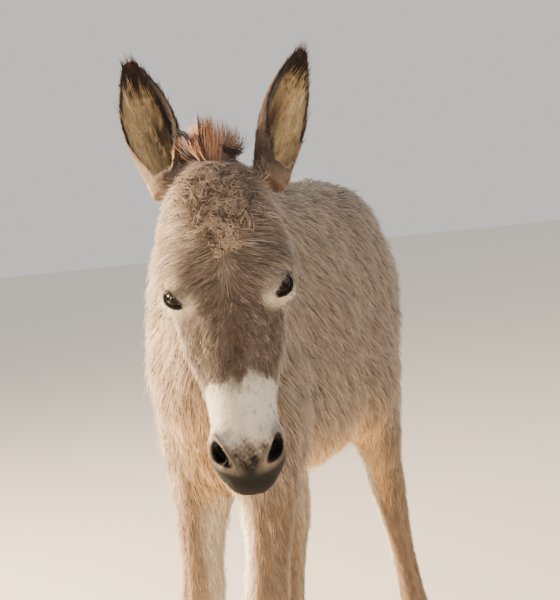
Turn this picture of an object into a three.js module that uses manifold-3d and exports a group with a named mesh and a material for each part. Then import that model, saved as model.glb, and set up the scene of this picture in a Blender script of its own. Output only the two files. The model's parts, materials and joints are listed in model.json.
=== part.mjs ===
// A young donkey standing still, at life size, in millimetres. +Z is up, the nose points towards -Y and
// the animal's own left side lies at +X. The body is one rounded field of oval sweeps and muscles. It is
// turned into a mesh once for each region, thinned to a triangle budget and then parted with thin plane
// cuts, so neighbouring parts share one outline. Every surface is the outside of the winter coat. The
// whole group has its base centre on the origin.
import * as THREE from "three";
import { mergeVertices } from "three/addons/utils/BufferGeometryUtils.js";
import Module from "manifold-3d";

const wasm = await Module();
wasm.setup();

// ---------------------------------------------------------------- driving dimensions
const WITHERS = 950; // height at the withers, to the tips of the coat
const HEAD = 0.43 * WITHERS; // length of the head, poll to upper lip
const EAR = 0.222 * WITHERS; // length of an ear, base to tip
const EYE_RADIUS = 0.045 * HEAD;
const HOOF_HEIGHT = 0.058 * WITHERS;
const GAP = 0.4; // parting gap between neighbouring solids
const MUZZLE_YAW = 20; // degrees that the face turns to the animal's left
const FACE_PITCH = 14; // degrees that the nose stands ahead of the poll
const POLL = [0.158, -0.657, 1.037]; // top of the head, in withers heights

// Cuts, in withers heights above the ground or along the body.
const FORE_CUT = 0.53;
const HIND_CUT = 0.505;
const KNEE_CUT = 0.3;
const HOCK_CUT = 0.335;
const CHEST_CUT = -0.16;
const THROAT_CUT = -0.47;
const NECK_CUT = { at: [0, -0.33, 0.86], normal: [0.1, -0.83, 0.56] };
const LOIN_CUT = 0.15;
const FORELEG_END = -0.17; // the level cuts that part the legs reach no further along the belly than these
const HIND_LEG_START = 0.1;
const TUFT_CUT = 0.58;

// The tail's top, its end and how far it swings to the left, in withers heights.
const TAIL_TOP = 0.9;
const TAIL_END = 0.29;
const TAIL_SWING = 0.026;

// ---------------------------------------------------------------- small vector helpers
const add = (a, b, k = 1) => [a[0] + b[0] * k, a[1] + b[1] * k, a[2] + b[2] * k];
const sub = (a, b) => [a[0] - b[0], a[1] - b[1], a[2] - b[2]];
const dot = (a, b) => a[0] * b[0] + a[1] * b[1] + a[2] * b[2];
const cross = (a, b) => [a[1] * b[2] - a[2] * b[1], a[2] * b[0] - a[0] * b[2], a[0] * b[1] - a[1] * b[0]];
const times = (a, k) => [a[0] * k, a[1] * k, a[2] * k];
const unit = (a) => times(a, 1 / Math.hypot(...a));
const mix = (a, b, t) => a + (b - a) * t;
const radians = THREE.MathUtils.degToRad;

// ---------------------------------------------------------------- fields: negative inside, in
// millimetres

// The rounded union of two fields, blended over k.
function blend(a, b, k) {
  const h = Math.max(k - Math.abs(a - b), 0) / k;
  return Math.min(a, b) - h * h * k * 0.25;
}

// A solid ellipsoid. Radii lie along the axes, which are the world's unless a frame is given.
function ellipsoid(centre, radii, frame = [[1, 0, 0], [0, 1, 0], [0, 0, 1]]) {
  return (p) => {
    const d = sub(p, centre);
    let k = 0;
    let g = 0;
    for (let i = 0; i < 3; i++) {
      const u = dot(d, frame[i]) / radii[i];
      k += u * u;
      g += (u / radii[i]) ** 2;
    }
    k = Math.sqrt(k);
    return g > 0 ? (k * (k - 1)) / Math.sqrt(g) : -Math.min(...radii);
  };
}

// A limb: oval sections joined along a path. Each section is {at, side, deep}, with half sizes across the
// body and across the path in the plane of the reference direction.
function sweep(sections, reference) {
  const parts = sections.slice(1).map((end, i) => {
    const start = sections[i];
    const along = sub(end.at, start.at);
    const axis = unit(along);
    const side = unit(cross(axis, reference));
    return { start, end, along, axis, side, up: cross(side, axis), square: dot(along, along) };
  });
  const middle = times(sections.reduce((sum, s) => add(sum, s.at), [0, 0, 0]), 1 / sections.length);
  const far = (s) => Math.hypot(...sub(s.at, middle)) + Math.max(s.side, s.deep);
  const reach = Math.max(...sections.map(far));
  return (p) => {
    const far = Math.hypot(...sub(p, middle)) - reach;
    if (far > 80) return far;
    let nearest = Infinity;
    for (const part of parts) {
      const d = sub(p, part.start.at);
      const t = Math.min(1, Math.max(0, dot(d, part.along) / part.square));
      const rest = add(d, part.along, -t);
      const a = mix(part.start.side, part.end.side, t);
      const b = mix(part.start.deep, part.end.deep, t);
      const c = (a + b) / 2;
      const u = dot(rest, part.side) / a;
      const v = dot(rest, part.up) / b;
      const w = dot(rest, part.axis) / c;
      const k = Math.sqrt(u * u + v * v + w * w);
      const g = Math.sqrt((u / a) ** 2 + (v / b) ** 2 + (w / c) ** 2);
      nearest = Math.min(nearest, g > 0 ? (k * (k - 1)) / g : -Math.min(a, b));
    }
    return nearest;
  };
}

// Smooth values through named stations: each row is [place, value, value...], in rising order of place.
function stations(rows) {
  const at = (i, j) => rows[Math.min(rows.length - 1, Math.max(0, i))][j];
  return (s) => {
    let i = rows.findIndex((row) => row[0] > s) - 1;
    if (i === -2) i = rows.length - 2;
    i = Math.max(0, i);
    const span = at(i + 1, 0) - at(i, 0);
    const t = Math.min(1, Math.max(0, (s - at(i, 0)) / span));
    return rows[0].slice(1).map((_, k) => {
      const j = k + 1;
      const slope = (a, b) => ((at(b, j) - at(a, j)) / Math.max(1e-9, at(b, 0) - at(a, 0))) * span;
      const m0 = i > 0 ? slope(i - 1, i + 1) : slope(i, i + 1);
      const m1 = i + 2 < rows.length ? slope(i, i + 2) : slope(i, i + 1);
      const t2 = t * t;
      const t3 = t2 * t;
      return (2 * t3 - 3 * t2 + 1) * at(i, j) + (t3 - 2 * t2 + t) * m0
        + (3 * t2 - 2 * t3) * at(i + 1, j) + (t3 - t2) * m1;
    });
  };
}

// A body with a top line and an underline along one axis: stations give [place, top, bottom, half width
// above, half width below], and the section is a rounded box of the given power.
function profiled(rows, power) {
  const [first, last] = [rows[0][0], rows[rows.length - 1][0]];
  const shape = stations(rows);
  return (along, across, height) => {
    const s = Math.min(last, Math.max(first, along));
    const [top, bottom, above, below] = shape(s);
    const half = (top - bottom) / 2;
    const v = (height - (top + bottom) / 2) / half;
    const wide = mix(below, above, Math.min(1, Math.max(0, (v + 1) / 1.35)));
    const u = Math.abs(across) / wide;
    const w = (along - s) / Math.min(half, wide);
    const k = Math.pow(u ** power + Math.abs(v) ** power + Math.abs(w) ** power, 1 / power);
    return (k - 1) * Math.min(half, wide) * 0.9;
  };
}

// ---------------------------------------------------------------- trunk and neck
const W = WITHERS;
const inWithers = (row) => row.map((v) => v * W);

// Along the body from breast to buttock: place, top, bottom, half width above and below, in withers
// heights.
const TRUNK = [
  [-0.43, 0.78, 0.66, 0.026, 0.03],
  [-0.41, 0.85, 0.62, 0.045, 0.048],
  [-0.36, 0.93, 0.57, 0.062, 0.066],
  [-0.28, 0.99, 0.54, 0.068, 0.078],
  [-0.2, 1.012, 0.522, 0.078, 0.098],
  [-0.1, 1.004, 0.5, 0.1, 0.125],
  [0.02, 0.992, 0.488, 0.115, 0.143],
  [0.12, 0.986, 0.504, 0.117, 0.141],
  [0.2, 0.984, 0.54, 0.112, 0.127],
  [0.29, 0.972, 0.6, 0.099, 0.108],
  [0.37, 0.935, 0.66, 0.08, 0.09],
  [0.42, 0.885, 0.71, 0.054, 0.066],
  [0.445, 0.84, 0.76, 0.03, 0.036],
].map(inWithers);
const trunkShape = profiled(TRUNK, 2.25);

// Both shoulders, both breast muscles, both hips and the fold of the flank: place, radii and blending
// width.
const MUSCLES = [
  { at: [0.045, -0.3, 0.735], radii: [0.036, 0.1, 0.165], blend: 0.04 },
  { at: [0.034, -0.395, 0.715], radii: [0.04, 0.044, 0.075], blend: 0.04 },
  { at: [0.048, -0.28, 0.61], radii: [0.036, 0.085, 0.08], blend: 0.04 },
  { at: [0.058, 0.29, 0.78], radii: [0.052, 0.12, 0.16], blend: 0.055 },
].flatMap((m) => [1, -1].map((s) => ({
  field: ellipsoid([m.at[0] * W * s, m.at[1] * W, m.at[2] * W], times(m.radii, W)),
  width: m.blend * W,
})));

// The neck turns to the animal's left on its way to the poll: place, half width and half depth.
const NECK = [
  [[0, -0.22, 0.79], 0.06, 0.17],
  [[0.018, -0.33, 0.83], 0.056, 0.152],
  [[0.052, -0.43, 0.868], 0.054, 0.13],
  [[0.09, -0.525, 0.905], 0.056, 0.11],
  [[0.127, -0.595, 0.932], 0.056, 0.098],
  [[0.144, -0.635, 0.937], 0.056, 0.092],
].map(([at, side, deep]) => ({ at: times(at, W), side: side * W, deep: deep * W }));
const neckField = sweep(NECK, [0, 0, 1]);

// ---------------------------------------------------------------- head, in its own frame
const L = HEAD;
const inHead = (row) => row.map((v) => v * L);
const forward = [Math.sin(radians(MUZZLE_YAW)), -Math.cos(radians(MUZZLE_YAW)), 0];
const [ps, pc] = [Math.sin(radians(FACE_PITCH)), Math.cos(radians(FACE_PITCH))];
const HEAD_FRAME = {
  origin: times(POLL, W),
  left: [-forward[1], forward[0], 0],
  front: add(times(forward, pc), [0, 0, ps]), // out of the face
  down: add(times(forward, ps), [0, 0, -pc]), // from poll to lip
};

// A point of the head: how far left, how far out of the face and how far down it, in head lengths.
function headPoint(left, front, down) {
  const f = HEAD_FRAME;
  return add(add(add(f.origin, f.left, left * L), f.front, front * L), f.down, down * L);
}

// Down the face from poll to lip: place, face line, jaw line, half width of the face and of the jaw, in
// head lengths.
const SKULL = [
  [-0.01, -0.06, -0.13, 0.06, 0.05],
  [0.03, 0.005, -0.22, 0.12, 0.09],
  [0.11, 0.055, -0.31, 0.165, 0.11],
  [0.2, 0.08, -0.39, 0.2, 0.12],
  [0.3, 0.08, -0.425, 0.212, 0.12],
  [0.4, 0.062, -0.41, 0.2, 0.115],
  [0.48, 0.045, -0.37, 0.172, 0.105],
  [0.56, 0.03, -0.32, 0.153, 0.092],
  [0.65, 0.014, -0.275, 0.132, 0.082],
  [0.74, 0.002, -0.245, 0.113, 0.076],
  [0.82, -0.004, -0.228, 0.108, 0.074],
  [0.89, -0.014, -0.218, 0.114, 0.074],
  [0.945, -0.04, -0.205, 0.106, 0.068],
  [0.985, -0.08, -0.18, 0.075, 0.05],
].map(inHead);
const skullShape = profiled(SKULL, 2.35);

// Features on both sides of the head, in head lengths as [left, front, down]. A negative blend carves.
const FEATURES = [
  { name: "orbit", at: [0.158, -0.055, 0.375], radii: [0.062, 0.062, 0.085], blend: 0.04 },
  { name: "brow", at: [0.125, 0.02, 0.33], radii: [0.055, 0.04, 0.06], blend: 0.04 },
  { name: "cheek bone", at: [0.125, -0.075, 0.5], radii: [0.03, 0.035, 0.12], blend: 0.05 },
  { name: "cheek", at: [0.105, -0.25, 0.29], radii: [0.05, 0.13, 0.14], blend: 0.05 },
  { name: "nostril wing", at: [0.085, -0.045, 0.892], radii: [0.036, 0.045, 0.062], blend: 0.035 },
  { name: "lip", at: [0.04, -0.105, 0.94], radii: [0.06, 0.055, 0.048], blend: 0.04 },
  { name: "chin", at: [0.022, -0.192, 0.905], radii: [0.05, 0.036, 0.055], blend: 0.035 },
  { name: "eye hollow", at: [0.196, 0.012, 0.41], radii: [0.034, 0.034, 0.05], blend: -0.03 },
  { name: "nostril", at: [0.11, -0.035, 0.918], radii: [0.028, 0.024, 0.042], blend: -0.015 },
].flatMap((f) => [1, -1].map((s) => ({
  field: ellipsoid(headPoint(f.at[0] * s, f.at[1], f.at[2]), times(f.radii, L),
    [HEAD_FRAME.left, HEAD_FRAME.front, HEAD_FRAME.down]),
  width: f.blend * L,
})));

function headField(p) {
  const d = sub(p, HEAD_FRAME.origin);
  const [x, f, s] = [dot(d, HEAD_FRAME.left), dot(d, HEAD_FRAME.front), dot(d, HEAD_FRAME.down)];
  const far = Math.hypot(x, f + 0.2 * L, s - 0.5 * L) - 0.75 * L;
  if (far > 80) return far;
  let value = skullShape(s, x, f);
  for (const { field, width } of FEATURES) {
    value = width > 0 ? blend(value, field(p), width) : -blend(-value, field(p), -width);
  }
  return value;
}

// ---------------------------------------------------------------- legs
// A standing leg is given by its joints, in withers heights: how far out, how far along the body and how
// high.
const LEGS = {
  left_fore: { side: 1, joints: [[0.064, -0.275, 0.62], [0.042, -0.355, 0.335], [0.034, -0.395, 0.12]] },
  right_fore: { side: -1, joints: [[-0.068, -0.265, 0.62], [-0.082, -0.3, 0.335], [-0.084, -0.308, 0.12]] },
  left_hind: { side: 1, joints: [[0.084, 0.2, 0.6], [0.07, 0.32, 0.385], [0.086, 0.355, 0.125]] },
  right_hind: { side: -1, joints: [[-0.082, 0.155, 0.6], [-0.086, 0.205, 0.38], [-0.096, 0.13, 0.125]] },
};

// Half sizes down a leg: which bone, the place along it, half width across the body and half depth along
// the body.
const FORE_SIZES = [
  [0, 0.0, 0.042, 0.082],
  [0, 0.35, 0.038, 0.058],
  [0, 0.78, 0.034, 0.04],
  [0, 0.97, 0.036, 0.039],
  [1, 0.16, 0.028, 0.033],
  [1, 0.5, 0.023, 0.028],
  [1, 0.82, 0.025, 0.03],
  [1, 1.0, 0.03, 0.035],
];
const HIND_SIZES = [
  [0, -0.1, 0.042, 0.085],
  [0, 0.35, 0.034, 0.066],
  [0, 0.75, 0.032, 0.047],
  [0, 0.97, 0.034, 0.045],
  [1, 0.16, 0.028, 0.036],
  [1, 0.5, 0.023, 0.03],
  [1, 0.82, 0.025, 0.032],
  [1, 1.0, 0.031, 0.036],
];
const PASTERN = { ahead: 0.036, height: 0.062, side: 0.028, deep: 0.033 };

function legField(leg, fore) {
  const path = (fore ? FORE_SIZES : HIND_SIZES).map(([bone, t, side, deep]) => ({
    at: times(add(times(leg.joints[bone], 1 - t), leg.joints[bone + 1], t), W),
    side: side * W,
    deep: deep * W,
  }));
  const fetlock = leg.joints[2];
  const coronet = [fetlock[0], fetlock[1] - PASTERN.ahead, PASTERN.height];
  const tip = add(coronet, [0, -0.018, -0.04]);
  path.push({ at: times(coronet, W), side: PASTERN.side * W, deep: PASTERN.deep * W });
  path.push({ at: times(tip, W), side: PASTERN.side * W, deep: PASTERN.deep * W });
  const limb = sweep(path, [0, -1, 0]);
  if (fore) return limb;
  const hock = leg.joints[1];
  const heel = sweep([
    { at: times(add(hock, [0, 0.012, 0.12]), W), side: 0.02 * W, deep: 0.022 * W },
    { at: times(add(hock, [0, 0.036, 0.035]), W), side: 0.02 * W, deep: 0.021 * W },
    { at: times(add(hock, [0, 0.02, -0.05]), W), side: 0.018 * W, deep: 0.018 * W },
  ], [0, -1, 0]);
  const stifle = ellipsoid(times(add(leg.joints[0], [0, 0.0, 0.02]), W), times([0.038, 0.075, 0.09], W));
  // The ham runs from the point of the buttock down to the back of the leg.
  const low = add(times(leg.joints[0], 0.5), hock, 0.5);
  const ham = sweep([
    { at: times([leg.side * 0.054, 0.375, 0.79], W), side: 0.05 * W, deep: 0.06 * W },
    {
      at: times(add(times(low, 0.4), [leg.side * 0.07, 0.345, 0.66], 0.6), W),
      side: 0.041 * W,
      deep: 0.066 * W,
    },
    { at: times(add(low, [0, 0.012, 0]), W), side: 0.03 * W, deep: 0.046 * W },
  ], [0, -1, 0]);
  return (p) => blend(blend(blend(limb(p), heel(p), 0.02 * W), ham(p), 0.04 * W), stifle(p), 0.05 * W);
}
const legFields = Object.entries(LEGS).map(([name, leg]) => legField(leg, name.endsWith("fore")));

// ---------------------------------------------------------------- the whole animal
function trunkField(p) {
  let value = trunkShape(p[1], p[0], p[2]);
  for (const { field, width } of MUSCLES) value = blend(value, field(p), width);
  return value;
}

function bodyField(p) {
  let value = blend(trunkField(p), neckField(p), 0.09 * W);
  value = blend(value, headField(p), 0.05 * W);
  const limbs = Math.min(...legFields.map((f) => f(p)));
  return blend(value, limbs, 0.055 * W);
}

// ---------------------------------------------------------------- meshing
// The even orders of a tetrahedron's corners that put its inside corners first, by the mask of those
// corners.
const INSIDE_FIRST = {
  1: [0, 1, 2, 3], 2: [1, 0, 3, 2], 4: [2, 3, 0, 1], 8: [3, 2, 1, 0],
  3: [0, 1, 2, 3], 5: [0, 2, 3, 1], 9: [0, 3, 1, 2], 6: [1, 2, 0, 3], 10: [1, 3, 2, 0], 12: [2, 3, 0, 1],
};
// The six tetrahedra of a cube round its long diagonal, each with the sense of its corners.
const TETRAHEDRA = [
  [0, 1, 3, 7, true], [0, 2, 6, 7, true], [0, 4, 5, 7, true],
  [0, 1, 5, 7, false], [0, 2, 3, 7, false], [0, 4, 6, 7, false],
];
const BLOCK = 4; // cells along a block that is skipped when it lies clear of the surface

// The values of a field on a grid, with the outermost layer held outside so that its surface closes.
function sampled(field, low, n, cell) {
  const values = new Float32Array(n[0] * n[1] * n[2]);
  const clear = cell * BLOCK * 1.9;
  for (let bk = 0; bk < n[2]; bk += BLOCK) {
    for (let bj = 0; bj < n[1]; bj += BLOCK) {
      for (let bi = 0; bi < n[0]; bi += BLOCK) {
        const about = field([bi, bj, bk].map((b, d) => low[d] + (b + (BLOCK - 1) / 2) * cell));
        const far = Math.abs(about) > clear;
        for (let k = bk; k < Math.min(bk + BLOCK, n[2]); k++) {
          for (let j = bj; j < Math.min(bj + BLOCK, n[1]); j++) {
            for (let i = bi; i < Math.min(bi + BLOCK, n[0]); i++) {
              const rim = [i, j, k].some((place, axis) => place === 0 || place === n[axis] - 1);
              const value = far ? about : field([low[0] + i * cell, low[1] + j * cell, low[2] + k * cell]);
              values[(k * n[1] + j) * n[0] + i] = rim ? Math.max(value, cell * 0.3) : value;
            }
          }
        }
      }
    }
  }
  return values;
}

// The zero surface of a field inside a box, cut from a grid of cubes as tetrahedra.
function surfaceOf(field, low, high, cell) {
  const n = [0, 1, 2].map((i) => Math.ceil((high[i] - low[i]) / cell) + 1);
  const values = sampled(field, low, n, cell);
  const step = [1, n[0], n[0] * n[1]];
  const corner = Array.from({ length: 8 }, (_, c) =>
    (c & 1) * step[0] + ((c >> 1) & 1) * step[1] + (c >> 2) * step[2]);
  const vertices = [];
  const faces = [];
  const known = new Map();
  const placeOf = (g) => [g % n[0], Math.floor(g / n[0]) % n[1], Math.floor(g / step[2])];
  function vertexOn(a, b) {
    const key = a < b ? a * values.length + b : b * values.length + a;
    if (!known.has(key)) {
      const t = Math.min(0.95, Math.max(0.05, values[a] / (values[a] - values[b])));
      const [p, q] = [placeOf(a), placeOf(b)];
      known.set(key, vertices.length);
      vertices.push(p.map((v, d) => low[d] + mix(v, q[d], t) * cell));
    }
    return known.get(key);
  }
  for (let k = 0; k < n[2] - 1; k++) {
    for (let j = 0; j < n[1] - 1; j++) {
      for (let i = 0; i < n[0] - 1; i++) {
        const here = k * step[2] + j * step[1] + i;
        let count = 0;
        for (const c of corner) if (values[here + c] < 0) count++;
        if (count === 0 || count === 8) continue;
        for (const tetrahedron of TETRAHEDRA) {
          const g = [0, 1, 2, 3].map((c) => here + corner[tetrahedron[c]]);
          const mask = g.reduce((m, v, c) => m | (values[v] < 0 ? 1 << c : 0), 0);
          if (mask === 0 || mask === 15) continue;
          const outer = mask === 7 || mask === 11 || mask === 13 || mask === 14;
          const [a, b, c, d] = INSIDE_FIRST[outer ? 15 - mask : mask].map((o) => g[o]);
          const single = outer || (mask & (mask - 1)) === 0;
          const ring = single
            ? [vertexOn(a, b), vertexOn(a, c), vertexOn(a, d)]
            : [vertexOn(a, c), vertexOn(a, d), vertexOn(b, d), vertexOn(b, c)];
          if (outer === tetrahedron[4]) ring.reverse();
          faces.push([ring[0], ring[1], ring[2]]);
          if (ring.length === 4) faces.push([ring[0], ring[2], ring[3]]);
        }
      }
    }
  }
  return { vertices, faces };
}

// Thins a closed mesh to a number of faces by collapsing the edges that change its shape least.
function thinned({ vertices, faces }, target) {
  const points = vertices.map((v) => v.slice());
  const around = points.map(() => new Set());
  const quadrics = points.map(() => new Float64Array(10));
  const version = new Int32Array(points.length);
  const alive = faces.map(() => true);
  const normalOf = (a, b, c) => cross(sub(b, a), sub(c, a));
  faces.forEach((face, index) => {
    const [a, b, c] = face.map((i) => points[i]);
    const normal = normalOf(a, b, c);
    const area = Math.hypot(...normal);
    for (const i of face) around[i].add(index);
    if (area < 1e-9) return;
    const [x, y, z] = times(normal, 1 / area);
    const w = -(x * a[0] + y * a[1] + z * a[2]);
    const terms = [x * x, x * y, x * z, x * w, y * y, y * z, y * w, z * z, z * w, w * w];
    for (const i of face) terms.forEach((term, t) => { quadrics[i][t] += term * area; });
  });
  const cost = (q, [x, y, z]) => q[0] * x * x + 2 * q[1] * x * y + 2 * q[2] * x * z + 2 * q[3] * x
    + q[4] * y * y + 2 * q[5] * y * z + 2 * q[6] * y + q[7] * z * z + 2 * q[8] * z + q[9];

  // Where the two ends of an edge meet best: the least-squares point if it lies near the edge, or else
  // its middle.
  function meeting(i, j) {
    const q = quadrics[i].map((v, t) => v + quadrics[j][t]);
    const [a, b] = [points[i], points[j]];
    const middle = times(add(a, b), 0.5);
    const rows = [[q[0], q[1], q[2]], [q[1], q[4], q[5]], [q[2], q[5], q[7]]];
    const determinant = dot(rows[0], cross(rows[1], rows[2]));
    const scale = (q[0] + q[4] + q[7]) ** 3;
    let best = middle;
    if (Math.abs(determinant) > 1e-6 * scale) {
      const right = [-q[3], -q[6], -q[8]];
      const partly = add(times(cross(rows[1], rows[2]), right[0]), cross(rows[2], rows[0]), right[1]);
      const solved = times(add(partly,
        cross(rows[0], rows[1]), right[2]), 1 / determinant);
      if (Math.hypot(...sub(solved, middle)) < 1.5 * Math.hypot(...sub(a, b))) best = solved;
    }
    return { place: best, price: cost(q, best) + 1e-3 * dot(sub(a, b), sub(a, b)) };
  }

  const heap = [];
  function push(item) {
    let i = heap.push(item) - 1;
    while (i > 0) {
      const parent = (i - 1) >> 1;
      if (heap[parent].price <= heap[i].price) break;
      [heap[parent], heap[i]] = [heap[i], heap[parent]];
      i = parent;
    }
  }
  function pop() {
    const top = heap[0];
    const last = heap.pop();
    if (heap.length === 0) return top;
    heap[0] = last;
    let i = 0;
    for (;;) {
      const [l, r] = [2 * i + 1, 2 * i + 2];
      let least = i;
      if (l < heap.length && heap[l].price < heap[least].price) least = l;
      if (r < heap.length && heap[r].price < heap[least].price) least = r;
      if (least === i) return top;
      [heap[least], heap[i]] = [heap[i], heap[least]];
      i = least;
    }
  }
  const neighbours = (i) => {
    const found = new Set();
    for (const f of around[i]) for (const v of faces[f]) if (v !== i) found.add(v);
    return found;
  };
  const offer = (i, j) => push({ i, j, at: [version[i], version[j]], ...meeting(i, j) });
  points.forEach((_, i) => neighbours(i).forEach((j) => { if (i < j) offer(i, j); }));

  let count = faces.length;
  while (count > target && heap.length) {
    const { i, j, at, place } = pop();
    if (version[i] !== at[0] || version[j] !== at[1]) continue;
    const mine = neighbours(i);
    const shared = [...neighbours(j)].filter((v) => mine.has(v));
    const gone = [...around[i]].filter((f) => around[j].has(f));
    if (shared.length !== 2 || gone.length !== 2) continue;
    const turned = [...around[i], ...around[j]].some((f) => {
      if (gone.includes(f)) return false;
      const before = faces[f].map((v) => points[v]);
      const after = faces[f].map((v) => (v === i || v === j ? place : points[v]));
      const [n, m] = [normalOf(...before), normalOf(...after)];
      return dot(n, m) < 0.3 * Math.hypot(...n) * Math.hypot(...m) || Math.hypot(...m) < 1e-3;
    });
    if (turned) continue;
    for (const f of gone) {
      for (const v of faces[f]) around[v].delete(f);
      alive[f] = false;
      count--;
    }
    for (const f of around[j]) {
      faces[f] = faces[f].map((v) => (v === j ? i : v));
      around[i].add(f);
    }
    around[j].clear();
    points[i] = place;
    quadrics[j].forEach((v, t) => { quadrics[i][t] += v; });
    version[j] = -1;
    version[i]++;
    neighbours(i).forEach((v) => offer(i, v));
  }
  return { vertices: points, faces: faces.filter((_, f) => alive[f]) };
}

// ---------------------------------------------------------------- solids
function solidFrom({ vertices, faces }) {
  return new wasm.Manifold(new wasm.Mesh({
    numProp: 3,
    vertProperties: new Float32Array(vertices.flat()),
    triVerts: new Uint32Array(faces.flat()),
  }));
}

function solidFromGeometry(geometry) {
  geometry.deleteAttribute("normal");
  geometry.deleteAttribute("uv");
  const merged = mergeVertices(geometry, 1e-3);
  return new wasm.Manifold(new wasm.Mesh({
    numProp: 3,
    vertProperties: merged.attributes.position.array,
    triVerts: new Uint32Array(merged.index.array),
  }));
}

function geometryOf(solid) {
  const mesh = solid.getMesh();
  const geometry = new THREE.BufferGeometry();
  geometry.setAttribute("position", new THREE.BufferAttribute(new Float32Array(mesh.vertProperties), 3));
  geometry.setIndex(new THREE.BufferAttribute(new Uint32Array(mesh.triVerts), 1));
  geometry.computeVertexNormals();
  return geometry;
}

// Everything on the far side of a plane, up to 4 metres away, as a solid to cut with.
function beyond(point, normal) {
  const size = 4000;
  const geometry = new THREE.BoxGeometry(size, size, size);
  const facing = new THREE.Vector3(...unit(normal));
  const turn = new THREE.Quaternion().setFromUnitVectors(new THREE.Vector3(0, 0, 1), facing);
  geometry.translate(0, 0, size / 2).applyQuaternion(turn).translate(...point);
  return solidFromGeometry(geometry);
}

// Both sides of a plane cut, [behind, beyond], with the parting gap between them.
function parted(solid, point, normal) {
  const n = unit(normal);
  return [
    solid.subtract(beyond(add(point, n, -GAP / 2), n)),
    solid.intersect(beyond(add(point, n, GAP / 2), n)),
  ];
}

// The largest piece of a solid that may have come apart.
function whole(solid) {
  return solid.decompose().sort((a, b) => b.volume() - a.volume())[0];
}

// A solid with the slivers that cutting left on it merged away.
function tidied(solid, target) {
  const mesh = solid.getMesh();
  const grouped = (list) =>
    Array.from({ length: list.length / 3 }, (_, i) => Array.from(list.slice(3 * i, 3 * i + 3)));
  const shape = { vertices: grouped(mesh.vertProperties), faces: grouped(mesh.triVerts) };
  return solidFrom(thinned(shape, target));
}

// A solid with others cut away from it, and a gap left beside them.
function cleared(solid, others) {
  const shifts = [[0, 0, 0], [1, 0, 0], [-1, 0, 0], [0, 1, 0], [0, -1, 0], [0, 0, 1], [0, 0, -1]]
    .map((s) => times(s, 2 * GAP));
  const without = (left, other) =>
    shifts.reduce((rest, shift) => rest.subtract(other.translate(shift)), left);
  return others.reduce(without, solid);
}

// A closed skin over rings with the same even number of points. Each end is closed by strips that run
// from one half of its ring to the other, so a ring may be a crescent whose second half comes back along
// the first.
function lofted(rings) {
  const count = rings[0].length;
  const faces = [];
  for (let r = 0; r < rings.length - 1; r++) {
    for (let i = 0; i < count; i++) {
      const [a, b] = [r * count + i, r * count + ((i + 1) % count)];
      faces.push([a, b, b + count], [a, b + count, a + count]);
    }
  }
  const top = (rings.length - 1) * count;
  for (let i = 0; i < count / 2 - 1; i++) {
    const [a, b, c, d] = [i, i + 1, count - 2 - i, count - 1 - i];
    faces.push([b, a, d], [b, d, c], [top + a, top + b, top + c], [top + a, top + c, top + d]);
  }
  const vertices = rings.flat();
  const solid = solidFrom({ vertices, faces });
  return solid.volume() < 0 ? solidFrom({ vertices, faces: faces.map((f) => [f[0], f[2], f[1]]) }) : solid;
}

// ---------------------------------------------------------------- the flesh, region by region
const box = (low, high) => [times(low, W), times(high, W)];
const solids = {};
const skins = {}; // the same flesh before it is parted, to cut whatever stands on it

// The head's share of space: in front of a sloping cut behind the poll and of an upright one behind the
// jaw.
function headSpace(inset) {
  const normal = unit(add(times(HEAD_FRAME.front, 0.8), HEAD_FRAME.down, 0.6));
  const slope = beyond(add(headPoint(0, -0.2, 0.05), normal, inset), normal);
  return slope.intersect(beyond([0, THROAT_CUT * W - inset, 0], [0, -1, 0]));
}

function buildHeadAndNeck() {
  const [low, high] = box([-0.12, -0.92, 0.52], [0.42, -0.42, 1.14]);
  const front = solidFrom(thinned(surfaceOf(bodyField, low, high, 0.0075 * W), 2300));
  skins.front = front;
  const head = whole(front.intersect(headSpace(GAP / 2)));
  // The jaw parts along the mouth, and the muzzle across the nose.
  const mouthLine = unit(add(times(HEAD_FRAME.down, 1), HEAD_FRAME.front, 0.13));
  const jawNormal = unit(cross(HEAD_FRAME.left, mouthLine));
  const outwards = dot(jawNormal, HEAD_FRAME.front) > 0 ? jawNormal : times(jawNormal, -1);
  const [jaw, upper] = parted(head, headPoint(0, -0.155, 0.97), outwards);
  const [skull, muzzle] = parted(whole(upper), headPoint(0, 0, 0.7), HEAD_FRAME.down);
  solids.lower_jaw = whole(jaw);
  solids.muzzle = whole(muzzle);
  let face = whole(skull);
  for (const [name, side] of [["left", 1], ["right", -1]]) {
    const at = headPoint(side * 0.15, -0.018, 0.407);
    const ball = (radius) => solidFromGeometry(new THREE.SphereGeometry(radius, 18, 10).translate(...at));
    face = face.subtract(ball(EYE_RADIUS + GAP));
    solids[`${name}_eye`] = ball(EYE_RADIUS);
  }
  solids.head = whole(face);

  const [nLow, nHigh] = box([-0.22, -0.72, 0.5], [0.32, -0.2, 1.12]);
  const neckMesh = solidFrom(thinned(surfaceOf(bodyField, nLow, nHigh, 0.013 * W), 700));
  skins.neck = neckMesh;
  const neck = whole(neckMesh.subtract(headSpace(-GAP / 2)));
  solids.neck = whole(parted(neck, times(NECK_CUT.at, W), NECK_CUT.normal)[1]);
}

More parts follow.
